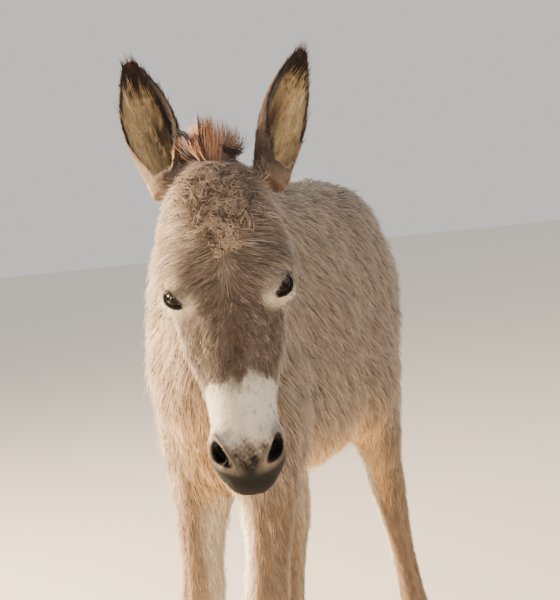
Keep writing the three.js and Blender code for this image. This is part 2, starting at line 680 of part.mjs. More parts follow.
function buildTrunk() {
  const [low, high] = box([-0.2, -0.56, 0.42], [0.26, 0.52, 1.06]);
  const mesh = solidFrom(thinned(surfaceOf(bodyField, low, high, 0.0135 * W), 1400));
  skins.trunk = mesh;
  let trunk = parted(mesh, times(NECK_CUT.at, W), NECK_CUT.normal)[0];
  // The legs leave the body at level cuts: in front of the girth and behind the flank.
  const below = (height, y, towards) => beyond([0, 0, height * W - GAP / 2 + GAP], [0, 0, -1])
    .intersect(beyond([0, y * W, 0], [0, towards, 0]));
  const legless = trunk
    .subtract(below(FORE_CUT, FORELEG_END, -1))
    .subtract(below(HIND_CUT, HIND_LEG_START, 1));
  trunk = whole(legless);
  const [chest, rear] = parted(trunk, [0, CHEST_CUT * W, 0], [0, 1, 0]);
  const [barrel, hindquarters] = parted(rear, [0, LOIN_CUT * W, 0], [0, 1, 0]);
  Object.assign(solids, { chest: whole(chest), barrel: whole(barrel), hindquarters: whole(hindquarters) });
}

function buildHoof(fetlock) {
  const [x, y] = [fetlock[0] * W, (fetlock[1] - PASTERN.ahead) * W];
  const count = 18;
  const ring = (height, half, front, back) => Array.from({ length: count }, (_, i) => {
    const a = (2 * Math.PI * i) / count;
    const reach = Math.cos(a) < 0 ? front : back;
    return [x + Math.sin(a) * half * W, y + Math.cos(a) * reach * W, height];
  });
  return lofted([
    ring(0, 0.034, 0.058, 0.034),
    ring(0.006 * W, 0.035, 0.059, 0.034),
    ring(HOOF_HEIGHT * 0.75, 0.0305, 0.043, 0.033),
    ring(HOOF_HEIGHT, 0.028, 0.036, 0.031),
  ]);
}

function buildLegs() {
  for (const [name, leg] of Object.entries(LEGS)) {
    const fore = name.endsWith("fore");
    const middle = leg.joints[1];
    const [xs, ys] = [0, 1].map((i) => leg.joints.map((j) => j[i]));
    const inner = leg.side * 0.008;
    const outer = leg.side * 0.16;
    const [low, high] = box(
      [Math.min(inner, outer), Math.min(...ys) - 0.13, 0.03],
      [Math.max(inner, outer), Math.max(...ys) + 0.12, 0.6],
    );
    const mesh = solidFrom(thinned(surfaceOf(bodyField, low, high, 0.0085 * W), 560));
    const top = (fore ? FORE_CUT : HIND_CUT) * W;
    const end = fore
      ? beyond([0, FORELEG_END * W - GAP, 0], [0, 1, 0])
      : beyond([0, HIND_LEG_START * W + GAP, 0], [0, -1, 0]);
    const belly = end.intersect(beyond([0, 0, middle[2] * W], [0, 0, 1]));
    const limb = whole(mesh.subtract(beyond([0, 0, top - GAP / 2], [0, 0, 1])).subtract(belly));
    const above = limb.subtract(beyond([0, 0, HOOF_HEIGHT + GAP], [0, 0, -1]));
    const cut = fore ? KNEE_CUT : HOCK_CUT;
    const [lower, upper] = parted(whole(above), [0, 0, cut * W], [0, 0, 1]);
    solids[`${name}_upper_leg`] = whole(upper);
    solids[`${name}_lower_leg`] = whole(lower);
    solids[`${name}_hoof`] = buildHoof(leg.joints[2]);
  }
}

// ---------------------------------------------------------------- ears, mane and tail
// An ear is a leaf rolled into a cup: closed like a tube at its foot, opening towards the tip.
// lean is its tilt outwards and tilt its tilt backwards, in degrees; turn swings the opening outwards,
// and across is how far its foot stands from the middle of the head, in head lengths.
const EARS = {
  left: { lean: 23, tilt: 10, turn: 46, across: 0.146 },
  right: { lean: 11.5, tilt: 10, turn: 6, across: 0.135 },
};
function buildEar(side, { lean, tilt, turn, across: spread }) {
  const [f, o] = [HEAD_FRAME, radians(lean)];
  const outwards = add(times(f.left, side * Math.sin(o)), f.down, -Math.cos(o));
  const up = unit(add(outwards, f.front, -Math.sin(radians(tilt))));
  const turned = radians(turn);
  const facing = unit(add(times(f.front, Math.cos(turned)), f.left, side * Math.sin(turned)));
  const front = unit(sub(facing, times(up, dot(facing, up))));
  const across = cross(up, front);
  const foot = headPoint(side * spread, -0.1, 0.075);
  // Up the ear: place, half width, depth of the cup and the share of a circle that the wall covers.
  const leaf = stations([
    [0, 0.125, 0.11, 0.93],
    [0.14, 0.142, 0.12, 0.86],
    [0.3, 0.17, 0.125, 0.72],
    [0.5, 0.185, 0.115, 0.6],
    [0.7, 0.155, 0.09, 0.55],
    [0.87, 0.1, 0.055, 0.5],
    [0.97, 0.052, 0.025, 0.5],
  ]);
  const [steps, arc] = [9, 8];
  const wall = 0.034 * EAR;
  const rings = Array.from({ length: steps + 1 }, (_, r) => {
    const t = 0.97 * (r / steps);
    const [half, deep, share] = leaf(t);
    const bow = 0.05 * EAR * Math.sin(Math.PI * t);
    const middle = add(add(foot, up, t * EAR), front, -bow);
    const at = (angle, inset) => add(add(middle, across, Math.sin(angle) * (half * EAR - inset)),
      front, -Math.cos(angle) * (deep * EAR - inset) + deep * EAR * 0.5);
    const sweepAngle = share * Math.PI;
    const thick = Math.min(wall, half * EAR * 0.45);
    const angles = Array.from({ length: arc }, (_, i) => mix(-sweepAngle, sweepAngle, i / (arc - 1)));
    return [...angles.map((a) => at(a, 0)), ...angles.reverse().map((a) => at(a * 0.965, thick))];
  });
  const tip = add(add(foot, up, EAR), front, -0.02 * EAR);
  const last = rings[rings.length - 1];
  rings.push(last.map((p) => add(times(p, 0.25), tip, 0.75)));
  const plug = lofted([0, 0.1, 0.17].map((t) => {
    const [half, deep] = leaf(t).map((v) => v * EAR * (t > 0.15 ? 0.5 : 0.97));
    return Array.from({ length: 12 }, (_, i) => {
      const a = (2 * Math.PI * i) / 12;
      const beside = add(add(foot, up, t * EAR), across, Math.sin(a) * half);
      return add(beside, front, -Math.cos(a) * deep + deep * 0.5);
    });
  }));
  return { solid: lofted(rings).add(plug), up };
}

function buildEars() {
  for (const [name, side] of [["left", 1], ["right", -1]]) {
    const { solid, up } = buildEar(side, EARS[name]);
    const cut = solid.subtract(skins.front).subtract(skins.neck);
    solids[`${name}_ear`] = tidied(whole(cut).translate(times(up, 2 * GAP)), 420);
  }
}

// The mane stands up as a low brush along the crest of the neck, highest at the poll.
function buildMane() {
  const crest = NECK.slice(1).map(({ at, deep }) => ({ at, deep }));
  const steps = 16;
  const line = new THREE.CatmullRomCurve3(crest.map(({ at }) => new THREE.Vector3(...at)));
  const deepAt = stations(crest.map(({ deep }, i) => [i / (crest.length - 1), deep]));
  const rings = Array.from({ length: steps + 1 }, (_, i) => {
    const t = i / steps;
    const at = line.getPoint(t).toArray();
    const along = unit(line.getTangent(t).toArray());
    const side = unit(cross(along, [0, 0, 1]));
    const up = cross(side, along);
    const base = add(at, up, deepAt(t)[0] * 0.86);
    const tall = mix(0.045, 0.085, t) * W + 0.004 * W * Math.sin(9 * Math.PI * t);
    const wide = 0.019 * W * Math.min(1, 0.45 + 6 * Math.min(t, 1.05 - t));
    return [[-1, 0], [-0.85, 0.55], [-0.3, 1], [0.3, 1], [0.85, 0.55], [1, 0]].map(([u, v]) =>
      add(add(base, side, u * wide), up, v * tall * Math.min(1, 0.4 + 5 * t)));
  });
  const brush = lofted(rings).subtract(skins.neck).subtract(skins.front).subtract(skins.trunk);
  const clear = cleared(brush.translate([0, 0, 3 * GAP]), [solids.left_ear, solids.right_ear]);
  solids.mane = tidied(whole(clear), 420);
}

// A tuft of upright hair springs from the poll between the ears.
function buildForelock() {
  const rings = [0, 0.35, 0.7, 1].map((t) => Array.from({ length: 12 }, (_, i) => {
    const a = (2 * Math.PI * i) / 12;
    const wide = mix(0.06, 0.085, Math.sin(Math.PI * t)) * (t === 1 ? 0.4 : 1);
    return headPoint(Math.sin(a) * wide, -0.07 + Math.cos(a) * mix(0.05, 0.018, t), mix(0.06, -0.15, t));
  }));
  const tuft = lofted(rings).subtract(skins.front).subtract(skins.neck);
  const raised = tuft.translate(times(HEAD_FRAME.down, -3 * GAP));
  const clear = cleared(raised, [solids.left_ear, solids.right_ear, solids.mane]);
  solids.forelock = tidied(whole(clear), 240);
}

// The tail hangs down behind, swung a little to the animal's left.
function buildTail() {
  // Down the tail: place, how far back and its half thickness, in withers heights. The tuft is the full part.
  const tail = stations([
    [TAIL_TOP, 0.4, 0.022],
    [0.86, 0.452, 0.026],
    [0.8, 0.476, 0.022],
    [0.68, 0.486, 0.017],
    [0.56, 0.486, 0.017],
    [0.5, 0.485, 0.024],
    [0.42, 0.484, 0.028],
    [0.34, 0.484, 0.021],
    [TAIL_END, 0.484, 0.006],
  ].reverse());
  const [steps, round] = [18, 12];
  const rings = Array.from({ length: steps + 1 }, (_, i) => {
    const z = mix(TAIL_TOP, TAIL_END, i / steps);
    const [y, half] = tail(z);
    const swung = TAIL_SWING * THREE.MathUtils.smoothstep(0.86 - z, 0, 0.28);
    return Array.from({ length: round }, (_, j) => {
      const a = (2 * Math.PI * j) / round;
      const [across, deep] = [Math.cos(a) * half, Math.sin(a) * half];
      return times([swung + across, y + deep, z + deep * 0.3], W);
    });
  });
  const hung = lofted(rings).subtract(skins.trunk);
  const below = beyond([0, 0, TUFT_CUT * W], [0, 0, -1]);
  const lower = hung.intersect(below);
  solids.tail_dock = tidied(whole(hung.subtract(below)), 240).translate([0, 2 * GAP, 0]);
  solids.tail_tuft = whole(lower).translate([0, 2 * GAP, -GAP]);
}

buildHeadAndNeck();
buildTrunk();
buildLegs();
buildEars();
buildMane();
buildForelock();
buildTail();

// ---------------------------------------------------------------- colours
const COLOURS = {
  coat: { color: 0x9c8474, roughness: 0.9 },
  face: { color: 0x85705f, roughness: 0.9 },
  pale: { color: 0xcdbba4, roughness: 0.9 },
  ear: { color: 0x6a4432, roughness: 0.9 },
  mane: { color: 0x8c5a45, roughness: 0.85 },
  eye: { color: 0x1c1310, roughness: 0.12 },
  hoof: { color: 0x4a4038, roughness: 0.6 },
};
const slotOf = (name) => {
  if (name.endsWith("eye")) return "eye";
  if (name.endsWith("hoof")) return "hoof";
  if (name.endsWith("ear")) return "ear";
  if (name === "muzzle") return "pale";
  if (["mane", "forelock", "tail_tuft"].includes(name)) return "mane";
  if (["head", "lower_jaw"].includes(name)) return "face";
  return "coat";
};

const donkey = new THREE.Group();
const bounds = new THREE.Box3();
for (const [name, solid] of Object.entries(solids)) {
  const { color, roughness } = COLOURS[slotOf(name)];
  const material = new THREE.MeshStandardMaterial({ color, roughness, metalness: 0 });
  const mesh = new THREE.Mesh(geometryOf(solid), material);
  mesh.name = name;
  donkey.add(mesh);
  bounds.expandByObject(mesh);
}
// The base centre of the whole animal goes to the origin.
const centre = bounds.getCenter(new THREE.Vector3());
donkey.position.set(-centre.x, -centre.y, -bounds.min.z);

export default donkey;
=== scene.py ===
"""A young donkey in its winter coat, life size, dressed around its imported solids.

One skin stands for all the nodes of flesh. It lies inside them by the depth of the coat, and the coat's
tufts reach out to them again. Eyes, hooves, mane, forelock and the tail's tuft are pieces of their own.
"""

import json
import logging
import math
from dataclasses import dataclass, field
from enum import Enum

import bmesh
import bpy
import numpy as np
from mathutils import Matrix, Vector
from mathutils.kdtree import KDTree

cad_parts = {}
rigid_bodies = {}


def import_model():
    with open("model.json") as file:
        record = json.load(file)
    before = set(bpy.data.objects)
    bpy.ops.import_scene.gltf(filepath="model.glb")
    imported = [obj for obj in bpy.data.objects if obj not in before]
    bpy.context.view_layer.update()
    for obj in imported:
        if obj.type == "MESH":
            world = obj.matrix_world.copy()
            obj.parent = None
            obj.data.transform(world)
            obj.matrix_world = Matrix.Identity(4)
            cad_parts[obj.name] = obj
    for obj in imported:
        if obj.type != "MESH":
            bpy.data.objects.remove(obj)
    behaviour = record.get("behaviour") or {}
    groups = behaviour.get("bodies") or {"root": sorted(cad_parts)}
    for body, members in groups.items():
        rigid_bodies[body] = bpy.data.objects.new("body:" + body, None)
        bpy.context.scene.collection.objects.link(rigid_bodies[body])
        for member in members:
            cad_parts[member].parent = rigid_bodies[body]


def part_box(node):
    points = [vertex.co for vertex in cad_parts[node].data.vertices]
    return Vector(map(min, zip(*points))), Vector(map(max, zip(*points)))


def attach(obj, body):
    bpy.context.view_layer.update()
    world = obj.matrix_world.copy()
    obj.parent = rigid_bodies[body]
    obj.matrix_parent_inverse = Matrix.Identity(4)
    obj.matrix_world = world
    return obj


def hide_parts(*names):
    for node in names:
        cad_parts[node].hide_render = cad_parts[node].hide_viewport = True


LOG = logging.getLogger("donkey")
BODY = "root"
SEED = 11
SHADE = "shade"
BODY_MIDDLE = -0.0565
MAP_FROM, MAP_WIDE = 0.002, 0.993
# The skin takes the coat's colours times this: painted shade where it shows between the tufts.
UNDERCOAT_SHADE = 0.8

Array = np.ndarray

TRUNK = ("barrel", "chest", "hindquarters", "neck")
HEAD = ("head", "muzzle", "lower_jaw")
EARS = ("left_ear", "right_ear")
LEGS = ("left_fore", "right_fore", "left_hind", "right_hind")
UPPER_LEGS = tuple(f"{leg}_upper_leg" for leg in LEGS)
LOWER_LEGS = tuple(f"{leg}_lower_leg" for leg in LEGS)
FLESH = TRUNK + HEAD + EARS + UPPER_LEGS + LOWER_LEGS + ("tail_dock",)


# ---------------------------------------------------------------- plain helpers


class Slot(Enum):
    """The material slots of the record; dress takes one for each piece but does not use it."""

    COAT = "coat"
    FACE = "face"
    MANE = "mane"
    EYE = "eye"
    HOOF = "hoof"


def unit(vectors: Array) -> Array:
    """Scales vectors to length one.

    Args:
        vectors: One vector, or one in each row.

    Returns:
        The same shape, of unit length.
    """
    size = np.linalg.norm(vectors, axis=-1, keepdims=True)
    return vectors / np.maximum(size, 1e-9)


def ramp(value: Array, low: float, high: float) -> Array:
    """Rises smoothly from 0 at low to 1 at high.

    Args:
        value: What the ramp is read at.
        low: Where it starts.
        high: Where it ends. It may lie below low, and the ramp then falls.

    Returns:
        Values from 0 to 1.
    """
    t = np.clip((value - low) / (high - low), 0.0, 1.0)
    return t * t * (3.0 - 2.0 * t)


def bump(value: Array, centre: float, width: float) -> Array:
    """A smooth hump of height one."""
    return np.exp(-(((value - centre) / width) ** 2))


def mottle(points: Array, size: float, seed: int = 0) -> Array:
    """A smooth field of chance, about as often over 1 as under -1.

    Args:
        points: Where it is read.
        size: How far apart its spots are.
        seed: Which field.

    Returns:
        One value for each point.
    """
    rng = np.random.default_rng(SEED + 100 + seed)
    waves = unit(rng.normal(size=(18, 3))) * rng.uniform(0.6, 1.7, (18, 1)) * math.tau / size
    return np.sin(points @ waves.T + rng.uniform(0.0, math.tau, 18)).sum(1) / 3.0


def linear(code: str) -> tuple[float, float, float]:
    """Turns a screen colour into the renderer's own numbers.

    Args:
        code: Six hex digits.

    Returns:
        Red, green and blue, linear.
    """
    parts = [int(code[i : i + 2], 16) / 255.0 for i in (0, 2, 4)]
    return tuple(p / 12.92 if p <= 0.04045 else ((p + 0.055) / 1.055) ** 2.4 for p in parts)


def deselect() -> None:
    """Leaves nothing selected and nothing in edit mode."""
    if bpy.context.object and bpy.context.object.mode != "OBJECT":
        bpy.ops.object.mode_set(mode="OBJECT")
    bpy.ops.object.select_all(action="DESELECT")


def activate(piece: bpy.types.Object) -> None:
    """Selects one piece alone and makes it the active one."""
    deselect()
    piece.select_set(True)
    bpy.context.view_layer.objects.active = piece


def apply_modifier(piece: bpy.types.Object, kind: str, **settings: object) -> None:
    """Adds a modifier to a piece and applies it at once.

    Args:
        piece: The mesh object.
        kind: The modifier's type.
        **settings: The modifier's own settings.
    """
    activate(piece)
    modifier = piece.modifiers.new(kind.lower(), kind)
    for name, value in settings.items():
        setattr(modifier, name, value)
    bpy.ops.object.modifier_apply(modifier=modifier.name)


def points_of(piece: bpy.types.Object) -> Array:
    """The vertices of a piece, one in each row."""
    out = np.empty(len(piece.data.vertices) * 3)
    piece.data.vertices.foreach_get("co", out)
    return out.reshape(-1, 3)


def set_points(piece: bpy.types.Object, points: Array) -> None:
    """Moves the vertices of a piece."""
    piece.data.vertices.foreach_set("co", points.astype(np.float32).ravel())
    piece.data.update()


def triangles_of(piece: bpy.types.Object) -> Array:
    """The triangles of a piece, three vertex numbers in each row."""
    mesh = piece.data
    mesh.calc_loop_triangles()
    out = np.empty(len(mesh.loop_triangles) * 3, np.int32)
    mesh.loop_triangles.foreach_get("vertices", out)
    return out.reshape(-1, 3)


def edges_of(piece: bpy.types.Object) -> Array:
    """The edges of a piece, two vertex numbers in each row."""
    out = np.empty(len(piece.data.edges) * 2, np.int32)
    piece.data.edges.foreach_get("vertices", out)
    return out.reshape(-1, 2)


def normals_of(points: Array, triangles: Array) -> Array:
    """Vertex normals, weighted by the area of the triangles round each vertex.

    Args:
        points: The vertices.
        triangles: Three vertex numbers in each row.

    Returns:
        One unit normal for each vertex.
    """
    a, b, c = (points[triangles[:, i]] for i in range(3))
    face = np.cross(b - a, c - a)
    out = np.zeros_like(points)
    for corner in range(3):
        for axis in range(3):
            out[:, axis] += np.bincount(triangles[:, corner], face[:, axis], len(points))
    return unit(out)


def diffused(values: Array, edges: Array, rounds: int, step: float = 0.5) -> Array:
    """Evens out values over a mesh, each vertex moving towards the mean of its neighbours.

    Args:
        values: One row for each vertex.
        edges: Two vertex numbers in each row.
        rounds: How often it is done.
        step: How far each round goes.

    Returns:
        The evened values.
    """
    count = len(values)
    ends = np.concatenate([edges[:, 0], edges[:, 1]])
    starts = np.concatenate([edges[:, 1], edges[:, 0]])
    degree = np.maximum(np.bincount(ends, minlength=count), 1)
    out = values.reshape(count, -1).copy()
    for _ in range(rounds):
        for column in range(out.shape[1]):
            mean = np.bincount(ends, out[starts, column], count) / degree
            out[:, column] += step * (mean - out[:, column])
    return out.reshape(values.shape)


def tangent(vectors: Array, normals: Array) -> Array:
    """Lays vectors flat on a surface with these normals, at unit length."""
    flat = vectors - normals * np.sum(vectors * normals, axis=1, keepdims=True)
    return unit(flat)


def tree_of(points: Array, numbers: Array | None = None) -> KDTree:
    """Keeps points in a tree.

    Args:
        points: The points.
        numbers: The number that each is found by, or None for its place in the row.

    Returns:
        The tree.
    """
    tree = KDTree(len(points))
    for number, point in zip(range(len(points)) if numbers is None else numbers, points, strict=True):
        tree.insert(point, int(number))
    tree.balance()
    return tree


def nearest(tree: KDTree, points: Array) -> Array:
    """The number of the nearest point in a tree, for each point."""
    find = tree.find
    return np.array([find(point)[1] for point in points])


def linked(name: str, mesh: bpy.types.Mesh) -> bpy.types.Object:
    """Puts a mesh into the scene as an object of its own."""
    piece = bpy.data.objects.new(name, mesh)
    bpy.context.scene.collection.objects.link(piece)
    return piece


def smooth_shaded(piece: bpy.types.Object) -> bpy.types.Object:
    """Shades all faces of a piece smoothly, and gives it back."""
    piece.data.polygons.foreach_set("use_smooth", [True] * len(piece.data.polygons))
    return piece


def share_of(share: Array, names: tuple[str, ...]) -> Array:
    """How much each point belongs to some of the nodes of FLESH, taken together."""
    return sum(share[:, FLESH.index(name)] for name in names)


# ---------------------------------------------------------------- the head's own axes


@dataclass(frozen=True)
class HeadFrame:
    """The head's own axes, in head lengths from the poll: to its left, out of the face, and down it."""

    origin: Array
    left: Array
    front: Array
    down: Array
    length: float

    EYE_SPREAD = 0.30
    EYE_DOWN = 0.407
    EYE_BACK = 0.018
    FACE_PITCH = math.radians(14.0)

    @classmethod
    def from_eyes(cls) -> "HeadFrame":
        """Works the axes out from where the two eyes are.

        Returns:
            The head's frame.
        """
        left_eye, right_eye = (
            np.array(sum(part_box(f"{side}_eye"), Vector()) / 2) for side in ("left", "right")
        )
        across = left_eye - right_eye
        left = unit(across)
        level = np.array([left[1], -left[0], 0.0])
        upright = np.array([0.0, 0.0, 1.0])
        front = level * math.cos(cls.FACE_PITCH) + upright * math.sin(cls.FACE_PITCH)
        down = level * math.sin(cls.FACE_PITCH) - upright * math.cos(cls.FACE_PITCH)
        length = float(np.linalg.norm(across)) / cls.EYE_SPREAD
        middle = (left_eye + right_eye) / 2
        origin = middle - length * (cls.EYE_DOWN * down - cls.EYE_BACK * front)
        return cls(origin, left, front, down, length)

    def local(self, points: Array) -> Array:
        """Points in head lengths, as left, front and down."""
        return (points - self.origin) @ np.stack([self.left, self.front, self.down], 1) / self.length

    def world(self, places: Array) -> Array:
        """The points in metres of places in head lengths."""
        axes = np.stack([self.left, self.front, self.down])
        return self.origin + self.length * np.asarray(places, float) @ axes

    def turned(self, vectors: Array) -> Array:
        """Directions given as left, front and down, in the shared frame."""
        return np.asarray(vectors, float) @ np.stack([self.left, self.front, self.down])


# ---------------------------------------------------------------- the hair of each region


@dataclass(frozen=True)
class Hair:
    """How the coat grows on one part of the body. Sizes are in metres.

    depth is how far the skin lies inside the solid, spacing the mean distance between tufts, guard the
    share of long bent tufts, smooth how much the facets are evened out, and lie the way the hair points
    in the shared frame, before it is laid flat on the skin.
    """

    depth: float
    length: float
    width: float
    spacing: float
    guard: float
    smooth: float
    lie: tuple[float, float, float]


HAIR = {
    "barrel": Hair(0.0085, 0.034, 0.0021, 0.0030, 0.45, 1.0, (0.0, 0.72, -0.70)),
    "chest": Hair(0.0085, 0.034, 0.0021, 0.0030, 0.45, 1.0, (0.0, 0.35, -0.94)),
    "hindquarters": Hair(0.0080, 0.030, 0.0021, 0.0030, 0.45, 1.0, (0.0, 0.50, -0.87)),
    "neck": Hair(0.0085, 0.032, 0.0020, 0.0028, 0.45, 0.8, (-0.10, 0.60, -0.79)),
    "head": Hair(0.0050, 0.017, 0.0014, 0.0021, 0.35, 0.12, (0.0, 0.0, -1.0)),
    "muzzle": Hair(0.0016, 0.010, 0.0011, 0.0019, 0.0, 0.12, (0.0, 0.0, -1.0)),
    "lower_jaw": Hair(0.0035, 0.015, 0.0013, 0.0023, 0.25, 0.12, (0.0, 0.2, -0.98)),
    "upper_leg": Hair(0.0050, 0.021, 0.0017, 0.0026, 0.15, 0.30, (0.0, 0.12, -0.99)),
    "lower_leg": Hair(0.0032, 0.013, 0.0014, 0.0025, 0.0, 0.12, (0.0, 0.10, -0.99)),
    "ear": Hair(0.0018, 0.011, 0.0011, 0.0023, 0.0, 0.05, (0.0, 0.0, 1.0)),
    "tail_dock": Hair(0.0060, 0.026, 0.0018, 0.0026, 0.3, 0.30, (0.0, 0.25, -0.97)),
}


def hair_on(node: str) -> Hair:
    """The hair of a node of flesh."""
    for ending in ("upper_leg", "lower_leg", "ear"):
        if node.endswith(ending):
            return HAIR[ending]
    return HAIR[node]


@dataclass
class Regions:
    """Says which node of flesh a point lies nearest to."""

    spacing: float = 0.008
    tree: KDTree = field(init=False)
    labels: Array = field(init=False)

    def __post_init__(self) -> None:
        """Scatters points over the nodes of flesh and keeps them in a tree."""
        rng = np.random.default_rng(SEED)
        spots, labels = [], []
        for number, name in enumerate(FLESH):
            piece = bpy.data.objects[name]
            found, _, _ = scattered(points_of(piece), triangles_of(piece), self.spacing, rng)
            spots.append(found)
            labels += [number] * len(found)
        self.labels = np.array(labels)
        self.tree = tree_of(np.concatenate(spots))

    def at(self, points: Array) -> Array:
        """The number of the nearest node of FLESH for each point."""
        return self.labels[nearest(self.tree, points)]


def scattered(
    points: Array,
    triangles: Array,
    spacing: float,
    rng: np.random.Generator,
    weight: Array | None = None,
) -> tuple[Array, Array, Array]:
    """Spreads points evenly over a mesh.

    Args:
        points: The mesh's vertices.
        triangles: Its triangles.
        spacing: The mean distance between neighbours where the weight is one.
        rng: The source of chance.
        weight: How thickly each triangle is sown, or None for all alike.

    Returns:
        The points, the triangle each lies on, and its weights for the triangle's corners.
    """
    a, b, c = (points[triangles[:, i]] for i in range(3))
    area = 0.5 * np.linalg.norm(np.cross(b - a, c - a), axis=1)
    if weight is not None:
        area = area * weight
    total = np.cumsum(area)
    count = max(int(total[-1] / spacing**2), 1)
    marks = (np.arange(count) + rng.random(count)) / count * total[-1]
    face = np.minimum(np.searchsorted(total, marks), len(triangles) - 1)
    u, v = np.sqrt(rng.random(count)), rng.random(count)
    share = np.stack([1 - u, u * (1 - v), u * v], 1)
    return np.einsum("nk,nkd->nd", share, points[triangles[face]]), face, share


# ---------------------------------------------------------------- eyes


@dataclass(frozen=True)
class EyeFrame:
    """One eyeball and the almond between its lids.

    The almond runs along slit, from the upper outer corner to the tear corner. Its sizes are in radii.
    """

    side: str
    centre: Array
    radius: float
    out: Array
    slit: Array
    over: Array

    OUT = (0.80, 0.58, 0.26)
    SLIT = (-0.50, 0.42, 0.74)
    LONG = 0.90
    UPPER = 0.39
    LOWER = 0.28

    @classmethod
    def of(cls, side: str, head: HeadFrame) -> "EyeFrame":
        """Measures an eye's node.

        Args:
            side: "left" or "right".
            head: The head's frame.

        Returns:
            The eye's frame.
        """
        low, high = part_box(f"{side}_eye")
        sign = 1.0 if side == "left" else -1.0
        mirror = np.array([sign, 1.0, 1.0])
        out = unit(head.turned(np.array(cls.OUT) * mirror))
        slit = tangent(head.turned(np.array(cls.SLIT) * mirror)[None], out[None])[0]
        over = unit(np.cross(out, slit))
        over = over if over[2] > 0 else -over
        return cls(side, np.array((low + high) / 2), (high - low)[2] / 2, out, slit, over)

    def places(self, points: Array) -> tuple[Array, Array, Array, Array]:
        """Where points lie round the eye.

        Args:
            points: Points in the shared frame.

        Returns:
            The distance in radii, how far ahead of the eye, how far along the slit, and how far outside
            the lids' edge each lies, as shares of the radius; the last is negative between the lids.
        """
        away = (points - self.centre) / self.radius
        distance = np.linalg.norm(away, axis=1)
        aim = away / np.maximum(distance, 1e-6)[:, None]
        along, up, ahead = aim @ self.slit, aim @ self.over, aim @ self.out
        arch = 1.0 - (along / self.LONG) ** 2
        outside = np.where(up > 0, up - self.UPPER * arch, -up - self.LOWER * arch)
        return distance, ahead, along, outside

    def near(self, points: Array, reach: float) -> Array:
        """Which points lie within some radii of the eye, on its outer side."""
        distance, ahead, _, _ = self.places(points)
        return (distance < reach) & (ahead > -0.25)


@dataclass
class Eyeball:
    """A wet brown eye with a wide dark pupil lying level, and a slightly bulging cornea."""

    frame: EyeFrame
    size: float = 0.98
    bulge: float = 0.07
    white_to: float = 0.76
    iris_to: float = 0.62
    pupil_wide: float = 0.44
    pupil_tall: float = 0.27
    fibres: float = 37.0
    iris: tuple = linear("180e08")
    rim: tuple = linear("120b08")
    pupil: tuple = linear("060505")
    white: tuple = linear("1b1411")

    def build(self) -> bpy.types.Object:
        """Makes the eyeball.

        Returns:
            Its object.
        """
        deselect()
        bpy.ops.mesh.primitive_uv_sphere_add(segments=96, ring_count=64, radius=1.0)
        piece = bpy.context.object
        piece.name = f"{self.frame.side}_eyeball"
        frame, points = self.frame, points_of(piece)
        points[:, 2] += self.bulge * ramp(points[:, 2], 0.72, 1.0)
        axes = np.stack([frame.slit, np.cross(frame.out, frame.slit), frame.out])
        placed = points @ axes
        set_points(piece, frame.centre + frame.radius * self.size * points @ axes)
        bpy.ops.object.shade_smooth()
        paint(piece.data, self.colour(placed))
        return piece

    def colour(self, placed: Array) -> Array:
        """The eyeball's colours.

        Args:
            placed: Its vertices, in radii from its centre, turned as the eye is.

        Returns:
            Linear red, green and blue for each vertex.
        """
        frame = self.frame
        level = unit(np.cross(frame.out, (0.0, 0.0, 1.0)))
        upright = np.cross(level, frame.out)
        across, tall, depth = placed @ level, placed @ upright, placed @ frame.out
        off, ahead = np.hypot(across, tall), depth > 0
        pupil = np.hypot(across / self.pupil_wide, tall / self.pupil_tall)
        rng = np.random.default_rng(SEED)
        grain = np.sin(np.arctan2(tall, across) * self.fibres) * rng.uniform(0.6, 1.0, len(off))
        colour = np.tile(np.array(self.white), (len(off), 1))
        rim, iris = (ramp(off, edge + 0.04, edge - 0.04) for edge in (self.white_to, self.iris_to))
        for tone, amount in (
            (np.array(self.rim), rim),
            (np.outer(1 + 0.25 * grain, self.iris), iris),
            (np.array(self.pupil), ramp(pupil, 1.1, 0.9)),
        ):
            k = (amount * ahead)[:, None]
            colour = colour * (1 - k) + tone * k
        return colour


# ---------------------------------------------------------------- the skin


